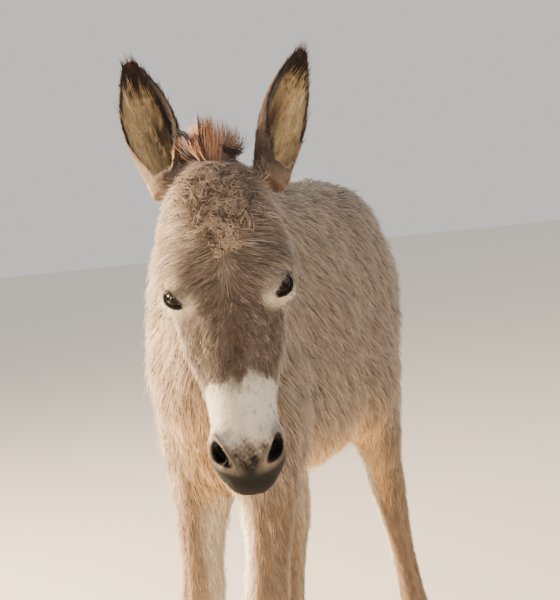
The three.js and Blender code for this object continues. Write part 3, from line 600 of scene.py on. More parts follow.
@dataclass
class Hide:
    """The one skin of the whole animal, inside the solids by the depth of the coat."""

    head: HeadFrame
    regions: Regions
    eyes: tuple[EyeFrame, EyeFrame]
    voxel: float = 0.0030
    overlap: float = 0.0006
    fairing: int = 110
    keep: float = 0.26
    lid: float = 0.0019
    lid_edge: float = 0.0016
    crease: float = 0.0010
    clear: float = 1.05
    nostril_depth: float = 0.013
    nostril_rim_and_highlight: float = 0.0022
    mouth_width: float = 0.0022
    mouth_depth: float = 0.0042
    upper_lip: float = 0.0018
    lower_lip: float = 0.0014
    piece: bpy.types.Object = field(init=False)

    FAIR_SPREAD = 30
    THIN_SPREAD = 20
    DEPTH_SPREAD = 40
    EASE = ((TRUNK, 1.0), (UPPER_LEGS, 0.6), (LOWER_LEGS, 0.4), (("lower_jaw",), 0.2))
    EYE_REACHES = (1.75, 1.45)

    NOSTRIL = (0.088, 0.908)
    NOSTRIL_LEAN = math.radians(26.0)
    NOSTRIL_LONG = 0.044
    NOSTRIL_WIDE = 0.017
    MOUTH = (-0.155, 0.97)
    MOUTH_SLOPE = 0.13

    def build(self) -> bpy.types.Object:
        """Makes the skin.

        Returns:
            The skin's object.
        """
        self.piece = self.joined()
        apply_modifier(self.piece, "REMESH", mode="VOXEL", voxel_size=self.voxel)
        self.fair()
        self.thin()
        self.sink()
        self.refine()
        self.carve_muzzle()
        for eye in self.eyes:
            self.carve_lids(eye)
        return smooth_shaded(self.piece)

    def joined(self) -> bpy.types.Object:
        """Copies the nodes of flesh, a little swollen so that they run into each other.

        Returns:
            One object with all the copies.
        """
        copies = []
        for name in FLESH + ("left_eye", "right_eye"):
            source = bpy.data.objects[name]
            mesh = source.data.copy()
            work = bmesh.new()
            work.from_mesh(mesh)
            bmesh.ops.remove_doubles(work, verts=work.verts, dist=1e-5)
            work.normal_update()
            for vertex in work.verts:
                vertex.co += vertex.normal * self.overlap
            work.to_mesh(mesh)
            work.free()
            copies.append(linked(f"flesh_{name}", mesh))
        deselect()
        for copy in copies:
            copy.select_set(True)
        bpy.context.view_layer.objects.active = copies[0]
        bpy.ops.object.join()
        piece = bpy.context.view_layer.objects.active
        piece.name = piece.data.name = "hide"
        piece.data.materials.clear()
        return piece

    def group(self, name: str, weights: Array) -> None:
        """Writes a vertex group, in a hundred steps of weight.

        Args:
            name: The group's name.
            weights: One weight for each vertex.
        """
        group = self.piece.vertex_groups.new(name=name)
        steps = np.round(weights * 100).astype(int)
        for step in np.unique(steps):
            group.add(np.flatnonzero(steps == step).tolist(), step / 100, "REPLACE")

    def fair(self) -> None:
        """Evens out the facets, most on the trunk and least on the ears."""
        labels = self.regions.at(points_of(self.piece))
        table = np.array([hair_on(name).smooth for name in FLESH])
        weights = diffused(table[labels], edges_of(self.piece), self.FAIR_SPREAD)
        self.group("fair", weights)
        apply_modifier(self.piece, "SMOOTH", factor=0.5, iterations=self.fairing, vertex_group="fair")

    def thin(self) -> None:
        """Takes triangles out of the skin, most from the trunk, where the coat hides it."""
        labels = self.regions.at(points_of(self.piece))
        ease = np.zeros(len(FLESH))
        for names, amount in self.EASE:
            ease[[FLESH.index(name) for name in names]] = amount
        self.piece.vertex_groups.clear()
        self.group("thin", diffused(ease[labels], edges_of(self.piece), self.THIN_SPREAD))
        settings = {"ratio": self.keep, "vertex_group": "thin", "vertex_group_factor": 1.0}
        apply_modifier(self.piece, "DECIMATE", **settings)
        self.piece.vertex_groups.clear()

    def sink(self) -> None:
        """Moves the skin in by the depth of the coat."""
        points, edges = points_of(self.piece), edges_of(self.piece)
        labels = self.regions.at(points)
        depth = np.array([hair_on(name).depth for name in FLESH])[labels]
        depth = diffused(depth, edges, self.DEPTH_SPREAD)
        for eye in self.eyes:
            distance, _, _, _ = eye.places(points)
            depth *= ramp(distance, 1.2, 2.1)
        normals = normals_of(points, triangles_of(self.piece))
        set_points(self.piece, points - normals * depth[:, None])

    def refine(self) -> None:
        """Splits the triangles round the eyes and on the nose, where the fine forms are."""
        for reach in self.EYE_REACHES:
            points = points_of(self.piece)
            chosen = np.zeros(len(points), bool)
            for eye in self.eyes:
                chosen |= eye.near(points, reach)
            if reach == self.EYE_REACHES[0]:
                local = self.head.local(points)
                chosen |= (local[:, 2] > 0.83) & (np.abs(local[:, 0]) < 0.2) & (local[:, 1] > -0.3)
            work = bmesh.new()
            work.from_mesh(self.piece.data)
            edges = [e for e in work.edges if chosen[e.verts[0].index] and chosen[e.verts[1].index]]
            bmesh.ops.subdivide_edges(work, edges=edges, cuts=1, use_grid_fill=True)
            bmesh.ops.triangulate(work, faces=work.faces)
            work.to_mesh(self.piece.data)
            work.free()

    def carve_lids(self, eye: EyeFrame) -> None:
        """Draws the skin over the eyeball as two lids, with a fold over the upper one.

        Args:
            eye: The eye.
        """
        points = points_of(self.piece)
        distance, ahead, _, outside = eye.places(points)
        hold = ramp(outside, 0.62, 0.30) * ramp(ahead, -0.05, 0.35) * (distance < 1.75)
        lid = 1.0 + (self.lid + self.lid_edge * bump(outside, 0.10, 0.09)) / eye.radius
        crease = -self.crease * bump(outside, 0.36, 0.07) / eye.radius
        target = np.where(outside < 0, 0.72, lid + crease + ramp(outside, 0.25, 0.6) * 0.06)
        aim = unit(points - eye.centre)
        wanted = distance + (target - distance) * hold
        over = (outside >= 0) & (distance < 1.75) & (ahead > -0.3)
        wanted = np.where(over, np.maximum(wanted, self.clear), wanted)
        move = aim * ((wanted - distance) * eye.radius)[:, None]
        set_points(self.piece, points + diffused(move, edges_of(self.piece), 1))

    def nostril(self, local: Array) -> Array:
        """How far points lie from the middle of a nostril, one at its rim, in head places."""
        side = np.abs(local[:, 0]) - self.NOSTRIL[0]
        down = local[:, 2] - self.NOSTRIL[1]
        lean = self.NOSTRIL_LEAN
        along = down * math.cos(lean) - side * math.sin(lean)
        across = side * math.cos(lean) + down * math.sin(lean)
        across = across + 0.45 * self.NOSTRIL_WIDE * (along / self.NOSTRIL_LONG) ** 2
        return np.hypot(along / self.NOSTRIL_LONG, across / self.NOSTRIL_WIDE)

    def mouth(self, local: Array) -> Array:
        """How far above the line of the mouth points lie, in head lengths."""
        return local[:, 1] - self.MOUTH[0] - self.MOUTH_SLOPE * (local[:, 2] - self.MOUTH[1])

    def carve_muzzle(self) -> None:
        """Opens the nostrils, draws the mouth and rounds the lips."""
        points = points_of(self.piece)
        normals = normals_of(points, triangles_of(self.piece))
        local = self.head.local(points)
        facing = normals @ self.head.turned([0.0, 1.0, 0.0])
        away = self.nostril(local)
        front = ramp(facing, -0.35, 0.05) * (local[:, 1] > -0.14) * (local[:, 2] > 0.8)
        sign = np.sign(local[:, 0])[:, None]
        inward = -unit(sign * self.head.left * 0.45 + self.head.turned([0.0, 0.85, 0.15]))
        pit = ramp(away, 1.05, 0.45) * front * self.nostril_depth
        rim = bump(away, 1.28, 0.24) * front * self.nostril_rim_and_highlight
        line = self.mouth(local)
        lips = ramp(local[:, 2], 0.84, 0.90) * (np.abs(local[:, 0]) < 0.16)
        groove = bump(line * self.head.length, 0.0, self.mouth_width) * lips * self.mouth_depth
        above, under = (bump(line, side * 0.022, 0.016) * lips for side in (1.0, -1.0))
        plump = above * self.upper_lip + under * self.lower_lip
        move = inward * pit[:, None] + normals * (rim + plump - groove)[:, None]
        set_points(self.piece, points + diffused(move, edges_of(self.piece), 2))


# ---------------------------------------------------------------- ears


@dataclass
class EarFrame:
    """One ear's own axes: up its length, across its width and out of its hollow."""

    side: str
    up: Array
    open: Array
    across: Array
    foot: Array
    height: float
    middle: Array
    half: Array

    TURN = {"left": math.radians(46.0), "right": math.radians(6.0)}
    SLICES = 24

    @classmethod
    def of(cls, side: str, head: HeadFrame) -> "EarFrame":
        """Measures an ear's node.

        Args:
            side: "left" or "right".
            head: The head's frame.

        Returns:
            The ear's frame.
        """
        points = points_of(bpy.data.objects[f"{side}_ear"])
        top = points[points[:, 2] > points[:, 2].max() - 0.012].mean(0)
        foot = points[points[:, 2] < points[:, 2].min() + 0.030].mean(0)
        up = unit(top - foot)
        sign = 1.0 if side == "left" else -1.0
        turn = cls.TURN[side]
        facing = head.turned([sign * math.sin(turn), math.cos(turn), 0.0])
        opening = unit(facing - up * float(facing @ up))
        across = np.cross(up, opening)
        height = float((top - foot) @ up)
        along = ((points - foot) @ up) / height
        middle, half = [], []
        for step in range(cls.SLICES + 1):
            near = points[np.abs(along - step / cls.SLICES) < 0.09]
            sides = (near - foot) @ across
            depths = (near - foot) @ opening
            middle.append([(sides.max() + sides.min()) / 2, (depths.max() + depths.min()) / 2])
            half.append(max((sides.max() - sides.min()) / 2, 0.004))
        return cls(side, up, opening, across, foot, height, np.array(middle), np.array(half))

    def places(self, points: Array) -> tuple[Array, Array, Array]:
        """Where points lie on the ear.

        Args:
            points: Points in the shared frame.

        Returns:
            The share of the height, the side from -1 to 1, and the vector to the middle of the hollow.
        """
        share = np.clip(((points - self.foot) @ self.up) / self.height, 0.0, 1.0)
        slot = share * self.SLICES
        grid = np.arange(self.SLICES + 1)
        mid_side = np.interp(slot, grid, self.middle[:, 0])
        mid_depth = np.interp(slot, grid, self.middle[:, 1])
        half = np.interp(slot, grid, self.half)
        side = ((points - self.foot) @ self.across - mid_side) / half
        centre = (
            self.foot
            + np.outer(share * self.height, self.up)
            + np.outer(mid_side, self.across)
            + np.outer(mid_depth + half * 0.35, self.open)
        )
        return share, side, centre - points

    def inside(self, points: Array, normals: Array) -> Array:
        """How surely each point lies in the hollow of the ear, from 0 to 1."""
        _, _, inward = self.places(points)
        facing = np.sum(unit(inward) * normals, axis=1)
        return ramp(facing, -0.10, 0.35)


# ---------------------------------------------------------------- markings


@dataclass
class Site:
    """The skin's points, what each belongs to, and the colours laid on them so far."""

    points: Array
    normals: Array
    share: Array
    colours: Array

    def part(self, *names: str) -> Array:
        """How much each point belongs to some nodes of FLESH."""
        return share_of(self.share, names)

    def lay(self, colour: tuple, amount: Array) -> None:
        """Paints a colour over what is there, by its amount at each point."""
        k = np.clip(amount, 0.0, 1.0)[:, None]
        self.colours = self.colours * (1 - k) + np.array(colour) * k


@dataclass
class Markings:
    """The colours of the coat, the same for the skin and for the tufts; the skin is later darkened as
    painted shade under the coat.
    """

    hide: Hide
    ears: tuple[EarFrame, EarFrame]
    taupe: tuple = linear("9c8b7b")
    # The back's darker tone, lightened almost to the flanks' colour as painted skylight.
    back: tuple = linear("998878")
    stripe: tuple = linear("5d4a3e")
    # A creamy underside, warmed to orange as painted light bounced up from the floor.
    cream_and_bounce_light: tuple = linear("efbb7c")
    pale: tuple = linear("efe2cc")
    patch: tuple = linear("e2d2ba")
    throat: tuple = linear("b39c86")
    face: tuple = linear("6c5d53")
    brow: tuple = linear("857467")
    curl: tuple = linear("bd9c7b")
    poll: tuple = linear("6b5b4f")
    bridge: tuple = linear("5c4b3f")
    cheek: tuple = linear("958274")
    muzzle: tuple = linear("e8dccb")
    grey: tuple = linear("7d6f63")
    nose: tuple = linear("0b0806")
    # Painted highlight: the light line of the nostrils' lit rims.
    nostril_rim_and_highlight: tuple = linear("9c8b7c")
    leg: tuple = linear("a3876c")
    leg_front: tuple = linear("75604f")
    ear_back: tuple = linear("5b463a")
    ear_foot: tuple = linear("7d6755")
    ear_rim: tuple = linear("22140e")
    # Reddish glow of backlight in the ears' fringe, painted as colour.
    backlit_ear_fringe: tuple = linear("7b452a")
    ear_hollow: tuple = linear("e0b986")
    ear_deep: tuple = linear("3a2b1e")

    SPECKS = ((0.035, 0.790), (0.086, 0.775), (-0.060, 0.812))
    EYE_PATCH = (0.155, 0.0, 0.405)
    WHITE_FROM = 0.682
    EAR_SPREAD = 26

    def colour(self, points: Array, normals: Array, share: Array) -> Array:
        """The coat's colour.

        Args:
            points: Points on the skin.
            normals: Their normals.
            share: How much each point belongs to each node of FLESH.

        Returns:
            Linear red, green and blue for each point.
        """
        site = Site(points, normals, share, np.tile(np.array(self.taupe), (len(points), 1)))
        self.paint_body(site)
        self.paint_face(site)
        self.paint_nose(site)
        self.paint_lids(site)
        for ear in self.ears:
            self.paint_ear(site, ear)
        return site.colours

    def paint_body(self, site: Site) -> None:
        """Colours the trunk and the legs: a darker back, lightened almost to the flanks' colour by
        painted skylight, with a faint line, and creamy below and inside, warmed orange below by painted
        light bounced from the floor.
        """
        points, normals, lay, part = site.points, site.normals, site.lay, site.part
        height, down, off = points[:, 2], -normals[:, 2], points[:, 0] - BODY_MIDDLE
        trunk, low = part(*TRUNK), part(*LOWER_LEGS)
        legs = part(*UPPER_LEGS, *LOWER_LEGS)
        # The back's own darker tone on the upward faces, lightened as painted skylight on the top.
        lay(self.back, trunk * ramp(normals[:, 2], 0.35, 0.95) * 0.7)
        on_line = bump(off, 0.0, 0.011) * ramp(normals[:, 2], 0.7, 0.95)
        lay(self.stripe, part("barrel", "hindquarters", "chest") * on_line * 0.75)
        lay(self.leg, legs)
        lay(self.throat, part("chest", "neck") * ramp(-normals[:, 1], 0.3, 0.9) * 0.6)
        # The creamy belly, its orange warmth painted bounce light from the floor.
        lay(self.cream_and_bounce_light, trunk * ramp(down, 0.15, 0.75) * ramp(height, 0.78, 0.60))
        inner = ramp(np.abs(off), 0.085, 0.03)
        facing_in = ramp(-normals[:, 0] * np.sign(off), 0.1, 0.8)
        thighs = part("hindquarters") * ramp(height, 0.66, 0.56)
        lay(self.pale, (legs + thighs) * facing_in * inner)
        # The same creamy colour under the legs, with its painted bounce light.
        lay(self.cream_and_bounce_light, legs * ramp(down, 0.2, 0.8) * 0.6)
        front = ramp(-normals[:, 1], 0.45, 0.95)
        lay(self.leg_front, low * front * ramp(height, 0.09, 0.2) * 0.55)
        lay(self.leg_front, low * ramp(height, 0.11, 0.065) * 0.7)

    def paint_face(self, site: Site) -> None:
        """Colours the head down to the white of the muzzle, with pale patches under the eyes."""
        lay, head = site.lay, self.hide.head
        local = head.local(site.points)
        side, along = np.abs(local[:, 0]), local[:, 2]
        skull = site.part(*HEAD)
        lay(self.cheek, skull)
        facing = site.normals @ head.turned([0.0, 1.0, 0.0])
        ahead = ramp(facing, -0.05, 0.50)
        lay(self.brow, skull * ahead * ramp(along, 0.44, 0.36))
        lay(self.face, skull * ahead * ramp(along, 0.30, 0.45) * ramp(side, 0.24, 0.15))
        lay(self.bridge, skull * ahead * bump(side, 0.0, 0.035) * ramp(along, 0.34, 0.5) * 0.8)
        lay(self.bridge, skull * ahead * bump(side, 0.085, 0.03) * bump(along, 0.30, 0.07) * 0.35)
        lay(self.curl, skull * ahead * bump(side, 0.0, 0.040) * ramp(along, 0.34, 0.24) * 0.45)
        lay(self.poll, skull * ramp(along, 0.08, -0.02) * 0.8)
        lay(self.pale, skull * ramp(-facing, 0.4, 0.85) * ramp(along, 0.25, 0.5) * 0.5)
        across, fore, down = self.EYE_PATCH
        ring = np.minimum(
            np.linalg.norm(local - [across, fore, down], axis=1),
            np.linalg.norm(local - [-across, fore, down], axis=1),
        )
        below = ramp(along, 0.40, 0.46)
        lay(self.patch, skull * ramp(ring, 0.092, 0.050) * (0.32 + 0.68 * below) * 0.9)
        ragged = 0.010 * mottle(site.points, 0.030, 2) + 0.004 * mottle(site.points, 0.007)
        edge = self.WHITE_FROM + ragged + side * 0.10
        lay(self.muzzle, skull * ramp(along, edge - 0.014, edge + 0.014))
        notch = bump(local[:, 0], -0.012, 0.020) * ramp(along, 0.745, 0.70) * ramp(along, 0.66, 0.69)
        lay(self.grey, skull * notch * 0.6)

    def paint_nose(self, site: Site) -> None:
        """Darkens the nose with a speckled edge, then the nostrils and the line of the mouth, and paints
        a highlight along the nostrils' rims.
        """
        lay, hide, points = site.lay, self.hide, site.points
        local = hide.head.local(points)
        side, fore, along = np.abs(local[:, 0]), local[:, 1], local[:, 2]
        skull = site.part(*HEAD)
        low_grey = along + 0.007 * mottle(points, 0.007) + 0.010 * mottle(points, 0.022, 1)
        lay(self.grey, skull * ramp(low_grey, 0.82, 0.92) * ramp(fore, -0.16, -0.08) * 0.85)
        black = low_grey + 0.040 * ramp(side, 0.045, 0.10)
        lay(self.nose, skull * ramp(black, 0.870, 0.955) * ramp(fore, -0.27, -0.18))
        lay(self.nose, skull * ramp(along, 0.955, 0.985))
        for across, place in self.SPECKS:
            speck = np.hypot(local[:, 0] - across, along - place)
            lay(self.nose, skull * ramp(speck, 0.008, 0.003) * (fore > -0.12) * 0.55)
        hole = hide.nostril(local)
        front = (along > 0.8) * ramp(fore, -0.17, -0.10)
        lay(self.grey, skull * front * ramp(hole, 2.3, 1.4) * 0.55)
        # Painted highlight: a light line along the lit rims of the nostrils.
        lay(self.nostril_rim_and_highlight, skull * front * bump(hole, 1.30, 0.10) * ramp(along, 0.84, 0.90) * 0.5)
        lay(self.nose, skull * front * ramp(hole, 1.22, 0.98))
        lay(self.nose, skull * bump(hide.mouth(local), 0.0, 0.007) * ramp(along, 0.84, 0.9))

    def paint_lids(self, site: Site) -> None:
        """Blackens the bare edges of the lids."""
        for eye in self.hide.eyes:
            distance, front, slit, outside = eye.places(site.points)
            near = (distance < 1.6) & (front > -0.1)
            site.lay(self.nose, near * ramp(outside, 0.26, 0.12) * ramp(slit, 0.98, 0.80))

    def paint_ear(self, site: Site, ear: EarFrame) -> None:
        """Colours one ear: brown outside, pale inside with dark streaks, and a dark rim and tip, with a
        painted reddish glow of backlight in the fringe.
        """
        points, lay = site.points, site.lay
        mine = site.part(f"{ear.side}_ear")
        tall, _, _ = ear.places(points)
        inward = -1.0 if ear.side == "left" else 1.0
        hollow = ear.inside(points, site.normals)
        inner = self.hollow_side(points, ear, tall, hollow * mine) * inward
        soft = diffused(hollow, edges_of(self.hide.piece), self.EAR_SPREAD) * mine
        rim = ramp(soft * (1.0 - soft) * 4.0, 0.30, 0.72)
        patchy, wander = mottle(points, 0.016, 3), 0.05 * mottle(points, 0.012, 4)
        outside, inside, above_foot = mine * (1 - hollow), mine * hollow, ramp(tall, 0.1, 0.25)
        lay(self.ear_foot, outside)
        lay(self.ear_back, outside * ramp(tall, 0.15, 0.45))
        lay(self.ear_rim, outside * ramp(tall, 0.62, 0.88))
        lay(self.ear_hollow, inside)
        deep = bump(inner, 0.16, 0.40) * bump(tall, 0.42, 0.26) * ramp(patchy, -1.6, -0.2)
        lay(self.ear_deep, inside * deep)
        lay(self.ear_deep, inside * ramp(mottle(points, 0.009, 5), 0.3, 1.8) * 0.35)
        lay(self.ear_rim, inside * ramp(inner + wander, 0.22, 0.52) * above_foot)
        lay(self.ear_rim, inside * ramp(-inner + wander, 0.70, 0.95) * above_foot)
        lay(self.ear_rim, mine * rim * ramp(tall + wander, 0.16, 0.28))
        # Painted backlight: a reddish glow in patches along the rim's fringe.
        lay(self.backlit_ear_fringe, mine * rim * ramp(patchy, 0.2, 1.2) * ramp(tall, 0.2, 0.3) * 0.6)
        lay(self.ear_rim, mine * ramp(tall + wander + 0.05 * inner, 0.70, 0.79))
        # Painted backlight: a reddish glow in the fringe at the tip.
        lay(self.backlit_ear_fringe, mine * ramp(tall, 0.86, 0.97) * ramp(patchy, -0.5, 0.8) * 0.5)
        lay(self.ear_rim, outside * (inner > 0) * bump(tall, 0.12, 0.10) * 0.7)

    @staticmethod
    def hollow_side(points: Array, ear: EarFrame, tall: Array, inside: Array) -> Array:
        """Where points lie across the hollow of an ear.

        Args:
            points: The points.
            ear: The ear's frame.
            tall: The share of the ear's height each is at.
            inside: How surely each is in the hollow.

        Returns:
            About -1 at one side of the hollow and 1 at the other, for each point.
        """
        across = (points - ear.foot) @ ear.across
        chosen = inside > 0.5
        middle = np.polyfit(tall[chosen], across[chosen], 3)
        off = across - np.polyval(middle, tall)
        width = np.polyfit(tall[chosen], np.abs(off[chosen]), 2)
        return off / (2.0 * np.maximum(np.polyval(width, tall), 0.003))


# ---------------------------------------------------------------- the coat


@dataclass
class Ground:
    """What the coat grows from: the skin's points and, at each, how the hair stands there."""

    points: Array
    triangles: Array
    normals: Array
    share: Array
    lie: Array
    sizes: dict[str, Array]
    colour: Array
    bare: Array

    NORMAL_SPREAD = 2
    SHARE_SPREAD = 14
    LIE_SPREAD = 6
    THINNED = 0.8
    SINK = 0.001

    BROW = {"length": 1.1, "depth": 0.8}
    BRIDGE = {"length": -0.5, "depth": -0.45}
    NOSE_PAD = {"length": -0.55, "depth": -0.5, "width": -0.3}
    LIDS = {"length": -0.75, "depth": -0.75, "width": -0.35}
    CORONET = {"length": 0.9, "depth": 0.7}
    EAR_HOLLOW = {"length": 0.5, "depth": 1.2}

    @classmethod
    def of(cls, skin: bpy.types.Object, regions: Regions, hide: Hide, marks: Markings) -> "Ground":
        """Reads the skin and works out the hair's values at each vertex.

        Args:
            skin: The skin's object.
            regions: Says which node each point is nearest to.
            hide: The skin's maker, which knows the eyes, the nostrils and the mouth.
            marks: The coat's colours.

        Returns:
            The ground.
        """
        head = hide.head
        points, triangles = points_of(skin), triangles_of(skin)
        edges = edges_of(skin)
        normals = unit(diffused(normals_of(points, triangles), edges, cls.NORMAL_SPREAD))
        labels = regions.at(points)
        share = diffused(np.eye(len(FLESH))[labels], edges, cls.SHARE_SPREAD)
        sizes = {
            name: share @ np.array([getattr(hair_on(node), name) for node in FLESH])
            for name in ("depth", "length", "width", "spacing", "guard")
        }
        sizes["width"] *= cls.THINNED
        lie = cls.lie_of(points, normals, share, head, marks.ears)
        lie = tangent(diffused(lie, edges, cls.LIE_SPREAD), normals)
        bare = cls.trim(points, normals, share, sizes, hide, marks.ears)
        colour = marks.colour(points, normals, share)
        return cls(points, triangles, normals, share, lie, sizes, colour, bare)

    @classmethod
    def trim(
        cls,
        points: Array,
        normals: Array,
        share: Array,
        sizes: dict[str, Array],
        hide: Hide,
        ears: tuple[EarFrame, EarFrame],
    ) -> Array:
        """Shortens and lengthens the hair by place, and finds where none grows.

        Args:
            points: The skin's vertices.
            normals: Their normals.
            share: How much each belongs to each node.
            sizes: The hair's sizes, which are changed in place.
            hide: The skin's maker.
            ears: The two ears' frames.

        Returns:
            How thickly hair grows at each vertex, from 0 to 1.
        """
        local = hide.head.local(points)
        side, fore, along = np.abs(local[:, 0]), local[:, 1], local[:, 2]
        skull = share_of(share, HEAD)
        bare = np.ones(len(points))
        ahead = ramp(normals @ hide.head.turned([0.0, 1.0, 0.0]), 0.1, 0.7)
        brow = skull * bump(along, 0.28, 0.08) * ramp(side, 0.06, 0.14) * ramp(fore, -0.2, -0.05)
        bridge = skull * ahead * ramp(along, 0.36, 0.50)
        pad = skull * ramp(along, 0.84, 0.90) * ramp(fore, -0.2, -0.14)
        for by, where in ((cls.BROW, brow), (cls.BRIDGE, bridge), (cls.NOSE_PAD, pad)):
            cls.resize(sizes, by, where)
        bare *= 1.0 - 0.8 * pad
        bare *= 1.0 - skull * ramp(hide.nostril(local), 1.5, 1.1) * (along > 0.8)
        for eye in hide.eyes:
            distance, front, _, outside = eye.places(points)
            close = (distance < 2.2) & (front > -0.1)
            bare[close & (outside < 0.07)] = 0.0
            cls.resize(sizes, cls.LIDS, ramp(outside, 0.9, 0.1) * close)
        cls.resize(sizes, cls.CORONET, ramp(points[:, 2], 0.085, 0.062))
        for ear in ears:
            mine = share[:, FLESH.index(f"{ear.side}_ear")]
            cls.resize(sizes, cls.EAR_HOLLOW, ear.inside(points, normals) * mine)
        return bare

    @staticmethod
    def resize(sizes: dict[str, Array], by: dict[str, float], where: Array) -> None:
        """Lengthens or shortens the hair, each size by its own share of what it was.

        Args:
            sizes: The hair's sizes, which are changed in place.
            by: The share added to each size, negative where it shrinks.
            where: How strongly it holds at each vertex, from 0 to 1.
        """
        for name, more in by.items():
            sizes[name] *= 1.0 + more * where

    @staticmethod
    def lie_of(
        points: Array, normals: Array, share: Array, head: HeadFrame, ears: tuple[EarFrame, EarFrame]
    ) -> Array:
        """The way the hair points, before it is laid flat.

        Args:
            points: The skin's vertices.
            normals: Their normals.
            share: How much each belongs to each node.
            head: The head's frame.
            ears: The two ears' frames.

        Returns:
            One vector for each vertex.
        """
        out = share @ np.array([hair_on(node).lie for node in FLESH])
        crest = ramp(normals[:, 2], 0.6, 0.95)[:, None]
        out = out * (1 - crest) + np.array([0.0, 1.0, -0.1]) * crest
        local = head.local(points)
        side, along = local[:, 0], local[:, 2]
        parting = np.clip(side / 0.03, -1.0, 1.0)
        fan = ramp(along, 0.62, 0.20)
        outward = parting * (0.30 + 0.90 * fan)
        downward = 0.95 - 0.75 * fan
        face = head.turned(np.stack([outward, -0.25 * np.ones_like(side), downward], 1))
        skull = share_of(share, HEAD)[:, None]
        out = out * (1 - skull) + face * skull
        for ear in ears:
            mine = share[:, FLESH.index(f"{ear.side}_ear")][:, None]
            _, edge_side, _ = ear.places(points)
            lie = ear.up + np.outer(edge_side * 0.35, ear.across)
            out = out * (1 - mine) + lie * mine
        return out

    def sunk(self, start: Array, foot: Array) -> Array:
        """Moves starts along the skin's normals to just under it.

        Args:
            start: Places near the skin.
            foot: The number of the skin's vertex nearest to each.

        Returns:
            The roots.
        """
        normal = self.normals[foot]
        gap = np.sum((start - self.points[foot]) * normal, 1)
        return start - normal * (gap + self.SINK)[:, None]


@dataclass
class Locks:
    """Bunches of tufts. The tufts of one bunch lean together and share a shade."""

    root: Array
    ahead: Array
    tree: KDTree
    shade: Array
    rise: Array
    reach: Array

    @classmethod
    def sown(cls, roots: Array, ahead: Array, rng: np.random.Generator) -> "Locks":
        """Sets the bunches out.

        Args:
            roots: Where they grow.
            ahead: The way each points.
            rng: The source of chance.

        Returns:
            The bunches.
        """
        count = len(roots)
        return cls(
            roots,
            ahead,
            tree_of(roots),
            rng.normal(0.0, 1.0, count),
            np.clip(rng.normal(1.0, 0.32, count), 0.4, 2.0),
            np.clip(rng.normal(1.0, 0.18, count), 0.6, 1.5),
        )


@dataclass
class Spikes:
    """Closed thin spikes of three sides, one for each tuft, given by where they start, bend and end."""

    spine: Array
    normal: Array
    tip_normal: Array
    width: Array
    shades: Array
    patch: Array

    CORNERS = ((-0.5, 0.0), (0.5, 0.0), (0.0, 0.5))
    SOFT = 0.72
    PATCH = 0.003

    def mesh_arrays(self) -> tuple[Array, Array, Array, Array, Array]:
        """Makes the triangles.

        Returns:
            Points, triangles, colours, patch places and normals, all for the points but the triangles.
        """
        count, stations, _ = self.spine.shape
        rings = stations - 1
        per = rings * 3 + 1
        points = np.empty((count, per, 3))
        colours = np.empty((count, per, 3))
        places = np.empty((count, per, 2))
        normals = np.empty((count, per, 3))
        for ring in range(rings):
            t = ring / rings
            ahead = unit(self.spine[:, ring + 1] - self.spine[:, ring])
            base = unit(self.normal * (1 - t) + self.tip_normal * t)
            side = unit(np.cross(base, ahead))
            over = np.cross(ahead, side)
            size = self.width * (0.80 + 0.45 * t - 0.75 * t * t)
            for number, (x, y) in enumerate(self.CORNERS):
                k = ring * 3 + number
                offset = side * x + over * y
                points[:, k] = self.spine[:, ring] + offset * size[:, None]
                colours[:, k] = self.shades[:, ring]
                places[:, k, 0] = self.patch[:, 0] + self.PATCH * (0.5 + x)
                places[:, k, 1] = self.patch[:, 1] + self.PATCH * (t * 0.8 + y * 0.3 * (1 - t))
                normals[:, k] = unit(base * self.SOFT + unit(offset) * (1 - self.SOFT))
        points[:, -1] = self.spine[:, -1]
        colours[:, -1] = self.shades[:, -1]
        places[:, -1] = self.patch + [self.PATCH * 0.5, self.PATCH]
        normals[:, -1] = self.tip_normal
        faces = [(0, 2, 1)]
        for ring in range(rings - 1):
            for i in range(3):
                j = (i + 1) % 3
                low, high = ring * 3, ring * 3 + 3
                faces += [(low + i, low + j, high + j), (low + i, high + j, high + i)]
        last = (rings - 1) * 3
        faces += [(last + i, last + (i + 1) % 3, per - 1) for i in range(3)]
        triangles = (np.arange(count)[:, None, None] * per + np.array(faces)[None]).reshape(-1, 3)
        return (
            points.reshape(-1, 3),
            triangles,
            colours.reshape(-1, 3),
            places.reshape(-1, 2),
            normals.reshape(-1, 3),
        )


def hair_piece(name: str, tufts: list[Spikes]) -> bpy.types.Object:
    """Joins tufts into one mesh object.

    Args:
        name: The piece's name.
        tufts: The sets of spikes that it holds.

    Returns:
        The object, with its colours, its bake map and soft normals.
    """
    parts = [spikes.mesh_arrays() for spikes in tufts if len(spikes.spine)]
    starts = np.cumsum([0] + [len(part[0]) for part in parts[:-1]])
    points, colours, places, normals = (
        np.concatenate([part[i] for part in parts]) for i in (0, 2, 3, 4)
    )
    triangles = np.concatenate([part[1] + start for part, start in zip(parts, starts, strict=True)])
    mesh = bpy.data.meshes.new(name)
    mesh.vertices.add(len(points))
    mesh.vertices.foreach_set("co", points.astype(np.float32).ravel())
    mesh.loops.add(triangles.size)
    mesh.loops.foreach_set("vertex_index", triangles.astype(np.int32).ravel())
    mesh.polygons.add(len(triangles))
    mesh.polygons.foreach_set("loop_start", np.arange(0, triangles.size, 3, dtype=np.int32))
    mesh.update(calc_edges=True)
    mesh.polygons.foreach_set("use_smooth", np.ones(len(triangles), bool))
    uv = mesh.uv_layers.new(name="OFBake")
    uv.uv.foreach_set("vector", places[triangles.ravel()].astype(np.float32).ravel())
    paint(mesh, colours)
    mesh.normals_split_custom_set_from_vertices(normals.astype(np.float32))
    return linked(name, mesh)


